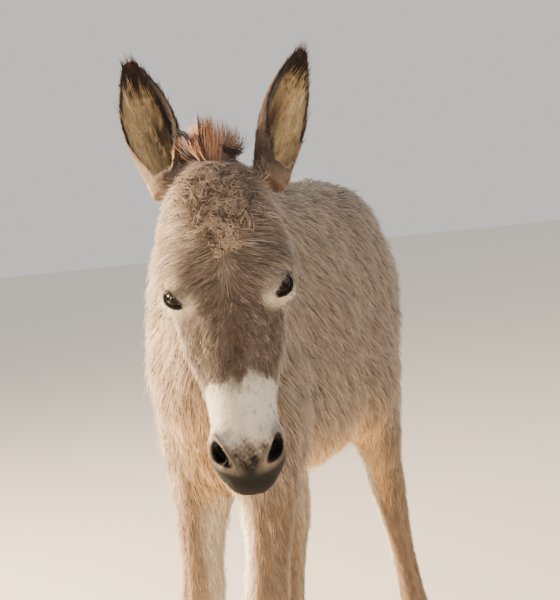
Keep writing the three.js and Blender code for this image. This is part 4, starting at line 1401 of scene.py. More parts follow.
def paint(mesh: bpy.types.Mesh, colours: Array) -> None:
    """Writes the coat's colours to a mesh.

    Args:
        mesh: The mesh.
        colours: Linear colours, one for each vertex.
    """
    layer = mesh.color_attributes.new(SHADE, "FLOAT_COLOR", "POINT")
    full = np.concatenate([np.clip(colours, 0.0, 1.0), np.ones((len(colours), 1))], 1)
    layer.data.foreach_set("color", full.astype(np.float32).ravel())


@dataclass
class Seeds:
    """Where the tufts of the coat start, and the skin's values there."""

    root: Array
    normal: Array
    lie: Array
    size: dict[str, Array]
    share: Array
    colour: Array
    part: Array


@dataclass
class Coat:
    """All the fur that lies on the skin, in pieces by the part of the body."""

    ground: Ground
    head: HeadFrame
    lock_spacing: float = 4.2
    gather: float = 0.62
    # Tuft colours run from painted shade at the root, deep in the coat, to paler ends with painted light
    # at the tip.
    root_shade: float = 0.52
    tip_pale_and_lit: float = 1.22
    tuft_spread: float = 0.13
    lock_spread: float = 0.15
    face_contrast: float = 1.0
    fringe_flare: float = 0.0035
    pieces: list[bpy.types.Object] = field(default_factory=list)
    tree: KDTree = field(init=False)

    STRAY = 0.45
    JITTER = 0.16
    LENGTHS = (0.72, 1.18)
    PULL = 0.55
    FRINGE = (0.078, 0.060)
    WARMTH = 0.035

    def __post_init__(self) -> None:
        """Keeps the skin's points in a tree, to lay tips on them."""
        self.tree = tree_of(self.ground.points)

    def build(self) -> list[bpy.types.Object]:
        """Grows the fur.

        Returns:
            The pieces of the coat.
        """
        rng = np.random.default_rng(SEED)
        seeds = self.sow(rng)
        count, size = len(seeds.root), seeds.size
        step = max(int(self.lock_spacing**2), 1)
        locks = Locks.sown(seeds.root[::step], seeds.lie[::step], rng)
        stray = size["length"] * rng.uniform(-self.STRAY, self.STRAY, count)
        mine = nearest(locks.tree, seeds.root + seeds.lie * stray[:, None])
        tip, tip_normal, rise = self.tips(seeds, locks, mine, rng)
        base = self.tones(seeds, locks.shade[mine], rng)
        patch = self.patches(seeds.root, seeds.normal, seeds.part)
        guard = rng.random(count) < size["guard"]
        for name, members in self.groups(seeds.root, seeds.part).items():
            tufts = []
            for bent in (True, False):
                pick = members & (guard == bent)
                tufts.append(
                    self.spikes(
                        seeds.root[pick],
                        tip[pick],
                        seeds.normal[pick],
                        tip_normal[pick],
                        rise[pick],
                        size["width"][pick] * (1.0 if bent else 0.95),
                        base[pick],
                        patch[name][pick],
                        bent,
                    )
                )
            piece = hair_piece(name, tufts)
            LOG.info("%s: %d triangles", name, len(piece.data.polygons))
            self.pieces.append(piece)
        return self.pieces

    def sow(self, rng: np.random.Generator) -> Seeds:
        """Spreads roots over the skin, as thickly as each part asks.

        Args:
            rng: The source of chance.

        Returns:
            The roots, with the skin's values there.
        """
        ground = self.ground
        corners = ground.triangles
        spacing = ground.sizes["spacing"][corners].mean(1)
        bare = ground.bare[corners].mean(1)
        root, face, weights = scattered(ground.points, corners, 1.0, rng, bare / spacing**2)
        corner = corners[face]

        def at(values: Array) -> Array:
            """Reads values of the skin's vertices at the roots."""
            return np.einsum("nk,nk...->n...", weights, values[corner])

        size = {name: at(values) for name, values in ground.sizes.items()}
        share = at(ground.share)
        normal, lie = unit(at(ground.normals)), unit(at(ground.lie))
        return Seeds(root, normal, lie, size, share, at(ground.colour), share.argmax(1))

    def tips(
        self, seeds: Seeds, locks: Locks, mine: Array, rng: np.random.Generator
    ) -> tuple[Array, Array, Array]:
        """Finds where each tuft ends: along the lie, drawn to its lock's tip, and laid on the skin.

        Args:
            seeds: The roots.
            locks: The bunches.
            mine: The bunch each root belongs to.
            rng: The source of chance.

        Returns:
            The tips, the skin's normals under them, and how far each stands off the skin.
        """
        ground, root, normal = self.ground, seeds.root, seeds.normal
        count = len(root)
        jitter = rng.normal(0.0, self.JITTER, count)
        ahead = unit(seeds.lie + np.cross(normal, seeds.lie) * jitter[:, None])
        length = seeds.size["length"] * rng.uniform(*self.LENGTHS, count) * locks.reach[mine]
        rise = np.clip(rng.normal(1.0, 0.30, count), 0.25, 2.2) * locks.rise[mine]
        rise = seeds.size["depth"] * rise
        tip = root + ahead * length[:, None]
        pull = locks.root[mine] + locks.ahead[mine] * length[:, None] - tip
        pull -= ahead * np.sum(pull * ahead, 1, keepdims=True) * 0.85
        reach = np.linalg.norm(pull, axis=1, keepdims=True)
        pull *= np.minimum(1.0, self.PULL * length[:, None] / np.maximum(reach, 1e-6))
        tip = tip + pull * self.gather
        foot = nearest(self.tree, tip)
        tip_normal = ground.normals[foot]
        gap = np.sum((tip - ground.points[foot]) * tip_normal, 1)
        drop = np.clip(gap - rise, -length * 0.6, length * 0.6)
        behind = np.sum(tip_normal * normal, 1) < 0.2
        drop[behind] = -rise[behind]
        tip_normal = np.where(behind[:, None], normal, tip_normal)
        fringe = ramp(root[:, 2], *self.FRINGE)
        tip = tip - tip_normal * (drop * (1.0 - fringe))[:, None]
        tip += normal * [1.0, 1.0, 0.0] * (self.fringe_flare * fringe)[:, None]
        return tip, tip_normal, rise

    def tones(self, seeds: Seeds, lock_shade: Array, rng: np.random.Generator) -> Array:
        """Varies the coat's colour from tuft to tuft, most on the head.

        Args:
            seeds: The roots.
            lock_shade: How much darker or lighter the bunch of each is.
            rng: The source of chance.

        Returns:
            The colour of each tuft.
        """
        count = len(seeds.root)
        skull = share_of(seeds.share, HEAD + EARS)
        shade = rng.normal(0.0, self.tuft_spread, count) + self.lock_spread * lock_shade
        shade = np.exp(shade * (1.0 + self.face_contrast * skull))
        warm = rng.normal(0.0, self.WARMTH, count)
        tint = np.stack([1 + warm, np.ones(count), 1 - warm], 1)
        return seeds.colour * tint * shade[:, None]

    def spikes(
        self,
        root: Array,
        tip: Array,
        normal: Array,
        tip_normal: Array,
        rise: Array,
        width: Array,
        base: Array,
        patch: Array,
        bent: bool,
    ) -> Spikes:
        """Shapes one set of tufts.

        Args:
            root: Where they start on the skin.
            tip: Where they end.
            normal: The skin's normal at the root.
            tip_normal: The skin's normal under the tip.
            rise: How far the tip stands off the skin.
            width: How wide each is.
            base: The colour of each.
            patch: The place of each on the bake map.
            bent: True for tufts of two lengths, which leave the skin steeply and then lie down.

        Returns:
            The spikes.
        """
        start = root - normal * 0.0008
        # Painted shade at the root, a middle step at the bend, and at the tip the hair's paler ends with
        # painted light.
        stations, tones = [start], [self.root_shade]
        if bent:
            middle = (start + tip) / 2 + normal * (rise * 0.30)[:, None]
            stations.append(middle)
            tones.append(0.95)
        stations.append(tip)
        tones.append(self.tip_pale_and_lit)
        shades = base[:, None, :] * np.array(tones)[None, :, None]
        return Spikes(np.stack(stations, 1), normal, tip_normal, width, shades, patch)

    def groups(self, roots: Array, part: Array) -> dict[str, Array]:
        """Shares the roots out among the pieces.

        Args:
            roots: The tufts' roots.
            part: The node of FLESH each belongs to.

        Returns:
            For each piece's name, which roots are its own.
        """
        left = roots[:, 0] > BODY_MIDDLE
        number = {name: part == i for i, name in enumerate(FLESH)}
        left_face = self.head.local(roots)[:, 0] > 0
        out = {}
        for side, mine in (("left", left), ("right", ~left)):
            out[f"coat_barrel_{side}"] = number["barrel"] & mine
            out[f"coat_rump_{side}"] = (number["hindquarters"] | number["tail_dock"]) & mine
            out[f"coat_chest_{side}"] = number["chest"] & mine
        out["coat_neck"] = number["neck"]
        for side, mine in (("left", left_face), ("right", ~left_face)):
            out[f"coat_face_{side}"] = (number["head"] | number["muzzle"] | number["lower_jaw"]) & mine
        for side in ("left", "right"):
            out[f"coat_ear_{side}"] = number[f"{side}_ear"]
        for leg in LEGS:
            out[f"coat_{leg}_leg"] = number[f"{leg}_upper_leg"] | number[f"{leg}_lower_leg"]
        return out

    def patches(self, roots: Array, normal: Array, part: Array) -> dict[str, Array]:
        """Places each root on a map of its own piece, unrolled round the part's axis.

        Args:
            roots: The tufts' roots.
            normal: The skin's normals there.
            part: The node of FLESH each belongs to.

        Returns:
            For each piece's name, the places of all roots on its map.
        """
        out = {}
        for name, members in self.groups(roots, part).items():
            mine = roots[members]
            centre = mine.mean(0)
            spread = mine - centre
            _, axes = np.linalg.eigh(spread.T @ spread)
            axis = axes[:, 2]
            side = np.cross(axis, (0.0, 0.0, 1.0) if abs(axis[2]) < 0.8 else (0.0, 1.0, 0.0))
            side = unit(side)
            over = np.cross(axis, side)
            around = np.arctan2(normal @ over, normal @ side)
            along = (roots - centre) @ axis
            flat = np.stack([around, along], 1)
            low, high = flat[members].min(0), flat[members].max(0)
            out[name] = MAP_FROM + MAP_WIDE * np.clip((flat - low) / (high - low), 0.0, 1.0)
        return out


# ---------------------------------------------------------------- mane, forelock and tail


@dataclass
class LongHair:
    """The mane, the forelock and the tail's tuft, which fill their solids with long locks."""

    head: HeadFrame
    ground: Ground
    tree: KDTree = field(init=False)
    rust: tuple = linear("bd8060")
    dark: tuple = linear("4a372d")
    black: tuple = linear("2e2521")
    tan: tuple = linear("d6a581")
    brown: tuple = linear("6a4a3a")

    EAR_SHARE = 0.3
    # Shares of each lock's colour from root to tip: painted shade towards the root, painted light
    # towards the tip.
    ROOT_TO_TIP_SHADING = (0.55, 0.9, 1.05, 1.2)
    MANE_SPACING = 0.0027
    MANE_SHORTEST = 0.006
    TAIL_SPACING = 0.0035
    TAIL_LOCKS = (0.06, 0.13)
    FAN_HAIRS, FAN_BUNCHES = 1150, 30
    FAN_TALL, FAN_WIDE, FAN_FOOT = 0.205, 0.104, 0.024
    FAN_FORE = -0.07
    FAN_DARK_FROM = 0.88
    SIDE_HAIRS = 34
    SIDE_LOCKS = ((-0.050, -0.118, -0.100, -0.040), (0.035, 0.105, -0.036, 0.012))

    def __post_init__(self) -> None:
        """Keeps the skin's points other than the ears' in a tree, to root the hair on."""
        scalp = np.flatnonzero(share_of(self.ground.share, EARS) < self.EAR_SHARE)
        self.tree = tree_of(self.ground.points[scalp], scalp)

    def spikes(
        self, root: Array, tip: Array, bend: Array, width: Array, colour: Array, patch: Array
    ) -> Spikes:
        """Bends long tufts through four places.

        Args:
            root: Where they start.
            tip: Where they end.
            bend: How far the middle is pushed out, as a vector for each.
            width: How wide each is.
            colour: The colour of each.
            patch: The place of each on the bake map.

        Returns:
            The spikes.
        """
        stations = [root + (tip - root) * t + bend * math.sin(math.pi * t) for t in (0, 1 / 3, 2 / 3, 1)]
        # Painted shade at the roots and painted light at the tips.
        shades = colour[:, None, :] * np.array(self.ROOT_TO_TIP_SHADING)[None, :, None]
        ahead = unit(tip - root)
        out = tangent(bend + 1e-5, ahead)
        return Spikes(np.stack(stations, 1), out, out, width, shades, patch)

    def tones(self, count: int, rng: np.random.Generator, pairs: list[tuple[tuple, float]]) -> Array:
        """Draws a colour for each tuft from weighted choices, with a little spread."""
        colours = np.array([pair[0] for pair in pairs])
        weights = np.array([pair[1] for pair in pairs])
        pick = rng.choice(len(pairs), count, p=weights / weights.sum())
        return colours[pick] * np.exp(rng.normal(0.0, 0.18, count))[:, None]

    @staticmethod
    def spread(flat: Array) -> Array:
        """Places on the bake map, from any two measures of each root."""
        low, high = flat.min(0), flat.max(0)
        return MAP_FROM + MAP_WIDE * (flat - low) / (high - low)

    def mane(self) -> bpy.types.Object:
        """Grows the mane from the crest up to its solid's outside.

        Returns:
            Its object.
        """
        rng = np.random.default_rng(SEED + 1)
        node = bpy.data.objects["mane"]
        tips, _, _ = scattered(points_of(node), triangles_of(node), self.MANE_SPACING, rng)
        foot = nearest(self.tree, tips)
        root = self.ground.points[foot] + rng.normal(0.0, 0.0025, tips.shape)
        tall = np.linalg.norm(tips - root, axis=1)
        keep = tall > self.MANE_SHORTEST
        tips, root = tips[keep], root[keep]
        tips = tips + unit(tips - root) * rng.uniform(-0.006, 0.004, len(tips))[:, None]
        tips += rng.normal(0.0, 1.0, tips.shape) * [0.0020, 0.0070, 0.0030]
        bend = rng.normal(0.0, 0.0016, tips.shape)
        colour = self.tones(len(tips), rng, [(self.dark, 0.5), (self.brown, 0.38), (self.black, 0.12)])
        width = rng.uniform(0.0012, 0.0019, len(tips))
        patch = self.spread(np.stack([root[:, 1], tips[:, 2] - root[:, 2] + root[:, 0]], 1))
        return hair_piece("mane_hair", [self.spikes(root, tips, bend, width, colour, patch)])

    def forelock(self) -> bpy.types.Object:
        """Grows the upright tuft between the ears: a fan of thin rusty locks with darker ones beside it.

        Returns:
            Its object.
        """
        rng = np.random.default_rng(SEED + 2)
        count, bunches, fore = self.FAN_HAIRS, self.FAN_BUNCHES, self.FAN_FORE
        fan = np.linspace(-1.0, 1.0, bunches) + rng.normal(0.0, 0.05, bunches)
        lean = rng.uniform(-0.5, 0.25, bunches)
        tall = self.FAN_TALL * (1.0 - 0.34 * np.abs(fan) ** 1.6) * rng.uniform(0.84, 1.06, bunches)
        mine = rng.integers(0, bunches, count)
        fan, lean, tall = fan[mine], lean[mine], tall[mine]
        side = fan * self.FAN_FOOT + rng.normal(0.0, 0.009, count)
        depth = fore + lean * 0.05 + rng.normal(0.0, 0.012, count)
        start = self.head.world(np.stack([side, depth, np.full(count, 0.01)], 1))
        root = self.ground.sunk(start, nearest(self.tree, start))
        end = np.stack(
            [
                fan * self.FAN_WIDE + rng.normal(0.0, 0.0110, count),
                fore + lean * 0.10 + rng.normal(0.0, 0.010, count),
                -tall * rng.uniform(0.55, 1.0, count) + 0.012,
            ],
            1,
        )
        tip = self.head.world(end)
        bend = self.head.turned(np.stack([fan * 0.006, lean * 0.004, np.zeros(count)], 1))
        outer = np.abs(fan) > self.FAN_DARK_FROM
        colour = self.tones(count, rng, [(self.rust, 0.55), (self.tan, 0.45)])
        colour[outer] = self.tones(int(outer.sum()), rng, [(self.dark, 0.7), (self.rust, 0.3)])
        width = rng.uniform(0.0006, 0.0010, count)
        upright = self.spikes(root, tip, bend, width, colour, self.head.local(root)[:, :2])
        beside = self.side_locks(rng)
        flat = self.spread(np.concatenate([upright.patch, beside.patch]))
        upright.patch, beside.patch = flat[:count], flat[count:]
        return hair_piece("forelock_hair", [upright, beside])

    def side_locks(self, rng: np.random.Generator) -> Spikes:
        """Lays the two dark locks beside the forelock: one curls up, the other lies flat.

        Args:
            rng: The source of chance.

        Returns:
            The locks' spikes.
        """
        each = self.SIDE_HAIRS
        roots, tips, bends = [], [], []
        for start, stop, rise, arch in self.SIDE_LOCKS:
            spread = rng.normal(0.0, 1.0, (each, 3)) * [0.006, 0.008, 0.007]
            roots.append(self.head.world(spread + [start, -0.045, -0.055]))
            far = spread * 0.9 + [stop, -0.05, rise]
            tips.append(self.head.world(far) + rng.normal(0.0, 0.0018, (each, 3)))
            bends.append(self.head.turned(np.tile([0.0, 0.0, arch * self.head.length], (each, 1))))
        colour = self.tones(2 * each, rng, [(self.dark, 0.75), (self.black, 0.25)])
        width = rng.uniform(0.0008, 0.0013, 2 * each)
        root = np.concatenate(roots)
        patch = self.head.local(root)[:, :2]
        return self.spikes(root, np.concatenate(tips), np.concatenate(bends), width, colour, patch)

    def tail(self) -> bpy.types.Object:
        """Hangs the tail's tuft: locks that start along its core and end on its solid's outside.

        Returns:
            Its object.
        """
        rng = np.random.default_rng(SEED + 3)
        node = bpy.data.objects["tail_tuft"]
        tips, _, _ = scattered(points_of(node), triangles_of(node), self.TAIL_SPACING, rng)
        low, high = tips[:, 2].min(), tips[:, 2].max()
        drop = rng.uniform(*self.TAIL_LOCKS, len(tips))
        height = np.minimum(tips[:, 2] + drop, high + 0.035)
        grid = np.linspace(low, high, 12)
        core = np.array([tips[np.abs(tips[:, 2] - z) < 0.02].mean(0) for z in grid])
        middle = [np.interp(height, grid, core[:, axis]) for axis in (0, 1)]
        root = np.stack([*middle, height], 1)
        root += rng.normal(0.0, 0.0045, root.shape) * [1, 1, 0]
        tips = tips + rng.normal(0.0, 0.003, tips.shape) * [1, 1, 2]
        bend = (tips - root) * [0.25, 0.25, 0.0] + rng.normal(0.0, 0.002, root.shape)
        colour = self.tones(len(tips), rng, [(self.dark, 0.5), (self.black, 0.3), (self.brown, 0.2)])
        width = rng.uniform(0.0018, 0.0030, len(tips))
        around = np.arctan2(tips[:, 1] - root[:, 1], tips[:, 0] - root[:, 0])
        patch = self.spread(np.stack([around, tips[:, 2]], 1))
        return hair_piece("tail_hair", [self.spikes(root, tips, bend, width, colour, patch)])


@dataclass
class Curls:
    """The woolly curls down the middle of the forehead."""

    head: HeadFrame
    ground: Ground
    tree: KDTree
    count: int = 2600
    steps: int = 6
    bunches: int = 190
    coil: float = 0.0031
    tan: tuple = linear("b0947a")
    brown: tuple = linear("7c6858")
    dark: tuple = linear("5c4a3e")

    REACH = (0.009, 0.017)
    LIFT = 0.0040
    LIGHT_SHARE = 0.70
    DARK_SHARE = 0.20

    def build(self) -> bpy.types.Object:
        """Grows the curls.

        Returns:
            Their object.
        """
        rng = np.random.default_rng(SEED + 4)
        along = 0.01 + 0.28 * rng.random(self.count) ** 1.25
        wide = 0.100 * ramp(along, 0.32, 0.06) + 0.012
        side = rng.normal(0.0, 0.55, self.count) * wide
        start = self.head.world(np.stack([side, np.full(self.count, 0.02), along], 1))
        foot = nearest(self.tree, start)
        normal = self.ground.normals[foot]
        root = self.ground.sunk(start, foot)
        middles = start[rng.choice(self.count, self.bunches, replace=False)]
        mine = nearest(tree_of(middles), start)
        angle = rng.uniform(0.0, math.tau, self.bunches)[mine] + rng.normal(0.0, 0.40, self.count)
        flat = unit(np.cross(normal, self.head.left))
        across = np.cross(flat, normal)
        ahead = flat * np.cos(angle)[:, None] + across * np.sin(angle)[:, None]
        beside = np.cross(normal, ahead)
        turns = (rng.uniform(0.4, 1.1, self.bunches) * rng.choice([-1.0, 1.0], self.bunches))[mine]
        reach = rng.uniform(*self.REACH, self.count)
        stations = []
        for t in np.linspace(0.0, 1.0, self.steps):
            phase = math.tau * turns * t
            place = ahead * (reach * t)[:, None]
            place += beside * (self.coil * np.sin(phase))[:, None]
            lift = self.LIFT + self.coil * (1 - np.cos(phase)) * 0.7
            place += normal * (lift * min(1.0, 3 * t))[:, None]
            stations.append(root + place)
        shade = np.exp(rng.normal(0.0, 0.16, self.count))[:, None]
        draw = np.clip(rng.random(self.bunches)[mine] + rng.normal(0.0, 0.12, self.count), 0.0, 1.0)
        light = (draw < self.LIGHT_SHARE * ramp(np.abs(side), 0.07, 0.0))[:, None]
        deep = (draw > 1.0 - self.DARK_SHARE)[:, None]
        colour = np.where(light, np.array(self.tan), np.array(self.brown))
        colour = np.where(deep, np.array(self.dark), colour) * shade
        # Each curl runs from painted shade at its root to painted light at its tip.
        tones = np.linspace(0.35, 1.2, self.steps)
        shades = colour[:, None, :] * tones[None, :, None]
        patch = LongHair.spread(np.stack([side, along], 1))
        width = rng.uniform(0.0008, 0.0014, self.count)
        tufts = Spikes(np.stack(stations, 1), normal, normal, width, shades, patch)
        return hair_piece("forehead_curls", [tufts])


@dataclass
class FineHair:
    """The lashes, and the few long stiff hairs round the lips and under the chin."""

    ground: Ground
    hide: Hide
    lashes: int = 46
    whiskers: int = 80
    dark: tuple = linear("120c09")
    pale: tuple = linear("a89a8a")

    UPPER_SHARE = 0.7
    LASH_REACH = (0.0105, 0.006)
    LASH_WIDTH = 0.0005
    WHISKER_REACH = (0.005, 0.014)
    WHISKER_WIDTH = 0.0003

    def lash_row(self, eye: EyeFrame, rng: np.random.Generator) -> Spikes:
        """Sets a row of lashes on each lid of an eye.

        Args:
            eye: The eye.
            rng: The source of chance.

        Returns:
            The lashes.
        """
        upper = np.arange(self.lashes) < self.lashes * self.UPPER_SHARE
        along = rng.uniform(-0.78, 0.62, self.lashes)
        arch = 1.0 - (along / eye.LONG) ** 2
        up = np.where(upper, eye.UPPER * arch + 0.05, -eye.LOWER * arch - 0.05)
        ahead = np.sqrt(np.clip(1.0 - along**2 - up**2, 0.0, 1.0))
        aim = np.outer(along, eye.slit) + np.outer(up, eye.over) + np.outer(ahead, eye.out)
        root = eye.centre + aim * eye.radius * 1.08
        reach = np.where(upper, *self.LASH_REACH) * rng.uniform(0.75, 1.1, self.lashes)
        way = aim + np.outer(np.where(upper, 0.35, -0.35), eye.over) - 0.3 * eye.slit
        tip = root + unit(way) * reach[:, None]
        middle = (root + tip) / 2 - np.outer(np.where(upper, 0.0014, -0.0007), eye.over)
        colour = np.tile(np.array(self.dark), (self.lashes, 1))
        shades = np.stack([colour, colour, colour], 1)
        width = np.full(self.lashes, self.LASH_WIDTH)
        return Spikes(np.stack([root, middle, tip], 1), aim, aim, width, shades, self.place(root))

    def whisker_set(self, rng: np.random.Generator) -> Spikes:
        """Sets the stiff hairs round the lips and under the chin.

        Args:
            rng: The source of chance.

        Returns:
            The whiskers.
        """
        ground = self.ground
        local = self.hide.head.local(ground.points)
        skull = share_of(ground.share, HEAD)
        chance = skull * ramp(local[:, 2], 0.86, 0.97) * (self.hide.nostril(local) > 1.4)
        chosen = rng.choice(len(chance), self.whiskers, replace=False, p=chance / chance.sum())
        root, normal = ground.points[chosen], ground.normals[chosen]
        way = unit(normal + 0.45 * rng.normal(0.0, 0.5, root.shape) + [0.0, 0.0, -0.5])
        reach = rng.uniform(*self.WHISKER_REACH, self.whiskers)[:, None]
        tip = root + way * reach
        middle = root + way * reach * 0.5 + [0.0, 0.0, 0.001]
        colour = np.where(rng.random(self.whiskers)[:, None] < 0.3, np.array(self.pale), self.dark)
        shades = np.stack([colour, colour, colour], 1)
        width = np.full(self.whiskers, self.WHISKER_WIDTH)
        spine = np.stack([root, middle, tip], 1)
        return Spikes(spine, normal, normal, width, shades, self.place(root))

    def build(self) -> bpy.types.Object:
        """Makes the lashes and whiskers.

        Returns:
            Their object.
        """
        rng = np.random.default_rng(SEED + 5)
        sets = [self.lash_row(eye, rng) for eye in self.hide.eyes] + [self.whisker_set(rng)]
        flat = LongHair.spread(np.concatenate([one.patch for one in sets]))
        for one in sets:
            one.patch, flat = flat[: len(one.patch)], flat[len(one.patch) :]
        return hair_piece("lashes_and_whiskers", sets)

    def place(self, root: Array) -> Array:
        """Unrolls roots round the head's long axis: the angle, and the place down the head."""
        local = self.hide.head.local(root)
        return np.stack([np.arctan2(local[:, 0], local[:, 1] + 0.25), local[:, 2]], 1)


@dataclass
class Hoof:
    """A small upright hoof, smoothed from its solid, with growth rings in its finish."""

    name: str
    voxel: float = 0.0016
    fairing: int = 24

    def build(self) -> bpy.types.Object:
        """Makes the hoof.

        Returns:
            Its object.
        """
        source = bpy.data.objects[self.name]
        piece = linked(f"{self.name}_wall", source.data.copy())
        activate(piece)
        bpy.ops.object.mode_set(mode="EDIT")
        bpy.ops.mesh.select_all(action="SELECT")
        bpy.ops.mesh.remove_doubles(threshold=0.00001)
        bpy.ops.object.mode_set(mode="OBJECT")
        apply_modifier(piece, "REMESH", mode="VOXEL", voxel_size=self.voxel)
        apply_modifier(piece, "SMOOTH", factor=0.5, iterations=self.fairing)
        points = points_of(piece)
        low, high = points[:, 2].min(), points[:, 2].max()
        points[:, 2] = (points[:, 2] - low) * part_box(self.name)[1][2] / (high - low)
        set_points(piece, points)
        return smooth_shaded(piece)


# ---------------------------------------------------------------- finishes


@dataclass(frozen=True)
class NodeBoard:
    """One material and its nodes."""

    material: bpy.types.Material

    @classmethod
    def named(cls, name: str, values: dict[str, float]) -> "NodeBoard":
        """Starts a material.

        Args:
            name: Its name.
            values: The even values of its shader, by input.

        Returns:
            The board.
        """
        material = bpy.data.materials.new(name)
        material.use_nodes = True
        board = cls(material)
        board.fill(board.shader, values)
        return board

    @property
    def shader(self) -> bpy.types.Node:
        """The material's own shader."""
        return self.material.node_tree.nodes["Principled BSDF"]

    @staticmethod
    def fill(node: bpy.types.Node, values: dict[str, object]) -> None:
        """Sets inputs of a node to even values."""
        for name, value in values.items():
            node.inputs[name].default_value = value

    def add(self, kind: str, values: dict[str, object] | None = None) -> bpy.types.Node:
        """Adds a node.

        Args:
            kind: Its type, without the leading ShaderNode.
            values: The even values of its inputs.

        Returns:
            The node.
        """
        node = self.material.node_tree.nodes.new(f"ShaderNode{kind}")
        self.fill(node, values or {})
        return node

    def join(self, source: bpy.types.Node, output: str, target: bpy.types.Node, to: str | int) -> None:
        """Links an output of one node to an input of another."""
        self.material.node_tree.links.new(source.outputs[output], target.inputs[to])

    def shade(self) -> bpy.types.Node:
        """Adds the node that reads the colours of the mesh."""
        node = self.add("Attribute")
        node.attribute_name = SHADE
        return node

    def relief(self, source: bpy.types.Node, output: str, distance: float) -> None:
        """Raises the surface where a pattern is high.

        Args:
            source: The pattern's node.
            output: Its output.
            distance: How high, in metres.
        """
        bumps = self.add("Bump", {"Distance": distance})
        self.join(source, output, bumps, "Height")
        self.join(bumps, "Normal", self.shader, "Normal")


@dataclass(frozen=True)
class FurFinish:
    """The finish of fur and of the skin under it: colour from the mesh, broken up by fine noise."""

    name: str
    roughness: float = 0.78
    sheen: float = 0.25
    sheen_roughness: float = 0.5
    specular: float = 0.3
    streak: float = 380.0
    break_up: float = 0.22
    relief: float = 0.0

    def material(self) -> bpy.types.Material:
        """Makes the material.

        Returns:
            The material.
        """
        values = {
            "Roughness": self.roughness,
            "Sheen Weight": self.sheen,
            "Sheen Roughness": self.sheen_roughness,
            "Specular IOR Level": self.specular,
        }
        board = NodeBoard.named(self.name, values)
        place = board.add("TexCoord")
        noise = board.add("TexNoise", {"Scale": self.streak, "Detail": 3.0})
        spread = board.add("MapRange", {"To Min": 1.0 - self.break_up, "To Max": 1.0 + self.break_up})
        product = board.add("VectorMath")
        product.operation = "SCALE"
        board.join(place, "Object", noise, "Vector")
        board.join(noise, "Fac", spread, "Value")
        board.join(board.shade(), "Color", product, 0)
        board.join(spread, "Result", product, "Scale")
        board.join(product, "Vector", board.shader, "Base Color")
        if self.relief:
            board.relief(noise, "Fac", self.relief)
        return board.material


@dataclass(frozen=True)
class EyeFinish:
    """A wet eye: the colours of the mesh under a clear coat."""

    name: str = "wet_eye"
    roughness: float = 0.12
    specular: float = 0.06
    wet: float = 0.22
    water: float = 1.33
    wet_roughness: float = 0.02

    def material(self) -> bpy.types.Material:
        """Makes the material.

        Returns:
            The material.
        """
        values = {
            "Roughness": self.roughness,
            "Specular IOR Level": self.specular,
            "Coat Weight": self.wet,
            "Coat IOR": self.water,
            "Coat Roughness": self.wet_roughness,
        }
        board = NodeBoard.named(self.name, values)
        board.join(board.shade(), "Color", board.shader, "Base Color")
        return board.material


@dataclass(frozen=True)
class HoofFinish:
    """Dull grey-brown horn with level growth rings and fine upright grain."""

    name: str = "hoof_horn"
    roughness: float = 0.55
    rings: float = 30.0
    grain: tuple[float, float, float] = (260.0, 260.0, 14.0)
    grain_share: float = 0.82
    relief: float = 0.0005
    dark: tuple = linear("1a1613")
    light: tuple = linear("3f362e")

    def material(self) -> bpy.types.Material:
        """Makes the material.

        Returns:
            The material.
        """
        board = NodeBoard.named(self.name, {"Roughness": self.roughness})
        place = board.add("TexCoord")
        rings = board.add("TexWave", {"Scale": self.rings, "Distortion": 3.2, "Detail": 2.0})
        rings.bands_direction = "Z"
        stretch = board.add("Mapping", {"Scale": self.grain})
        grain = board.add("TexNoise", {"Scale": 1.0})
        blend = board.add("Mix", {"Factor": self.grain_share})
        tint = board.add("ValToRGB")
        for stop, colour in zip(tint.color_ramp.elements, (self.dark, self.light), strict=True):
            stop.color = (*colour, 1.0)
        board.join(place, "Object", rings, "Vector")
        board.join(place, "Object", stretch, "Vector")
        board.join(stretch, "Vector", grain, "Vector")
        board.join(rings, "Fac", blend, "A")
        board.join(grain, "Fac", blend, "B")
        board.join(blend, "Result", tint, "Fac")
        board.join(tint, "Color", board.shader, "Base Color")
        board.relief(blend, "Result", self.relief)
        return board.material


def dress(piece: bpy.types.Object, material: bpy.types.Material, slot: Slot, *nodes: str) -> None:
    """Gives a piece its finish and fixes it to the body.

    Args:
        piece: The piece.
        material: Its finish.
        slot: The record's slot; not used.
        *nodes: The nodes that it stands for.
    """
    piece.data.materials.clear()
    piece.data.materials.append(material)
    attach(piece, BODY)
    if nodes:
        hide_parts(*nodes)
    LOG.info("%s dressed", piece.name)


# ---------------------------------------------------------------- stage


@dataclass(frozen=True)
class Lamp:
    """A soft round lamp. Its place and size are in metres, and its power is in watts."""

    name: str
    place: tuple[float, float, float]
    size: float
    power: float
    colour: tuple[float, float, float]

    def build(self, aim: tuple[float, float, float]) -> None:
        """Hangs the lamp and points it at a place."""
        bpy.ops.object.light_add(type="AREA", location=self.place)
        lamp = bpy.context.object
        lamp.name = self.name
        lamp.data.shape = "DISK"
        lamp.data.size = self.size
        lamp.data.energy = self.power
        lamp.data.color = self.colour
        way = Vector(aim) - Vector(self.place)
        lamp.rotation_euler = way.to_track_quat("-Z", "Y").to_euler()


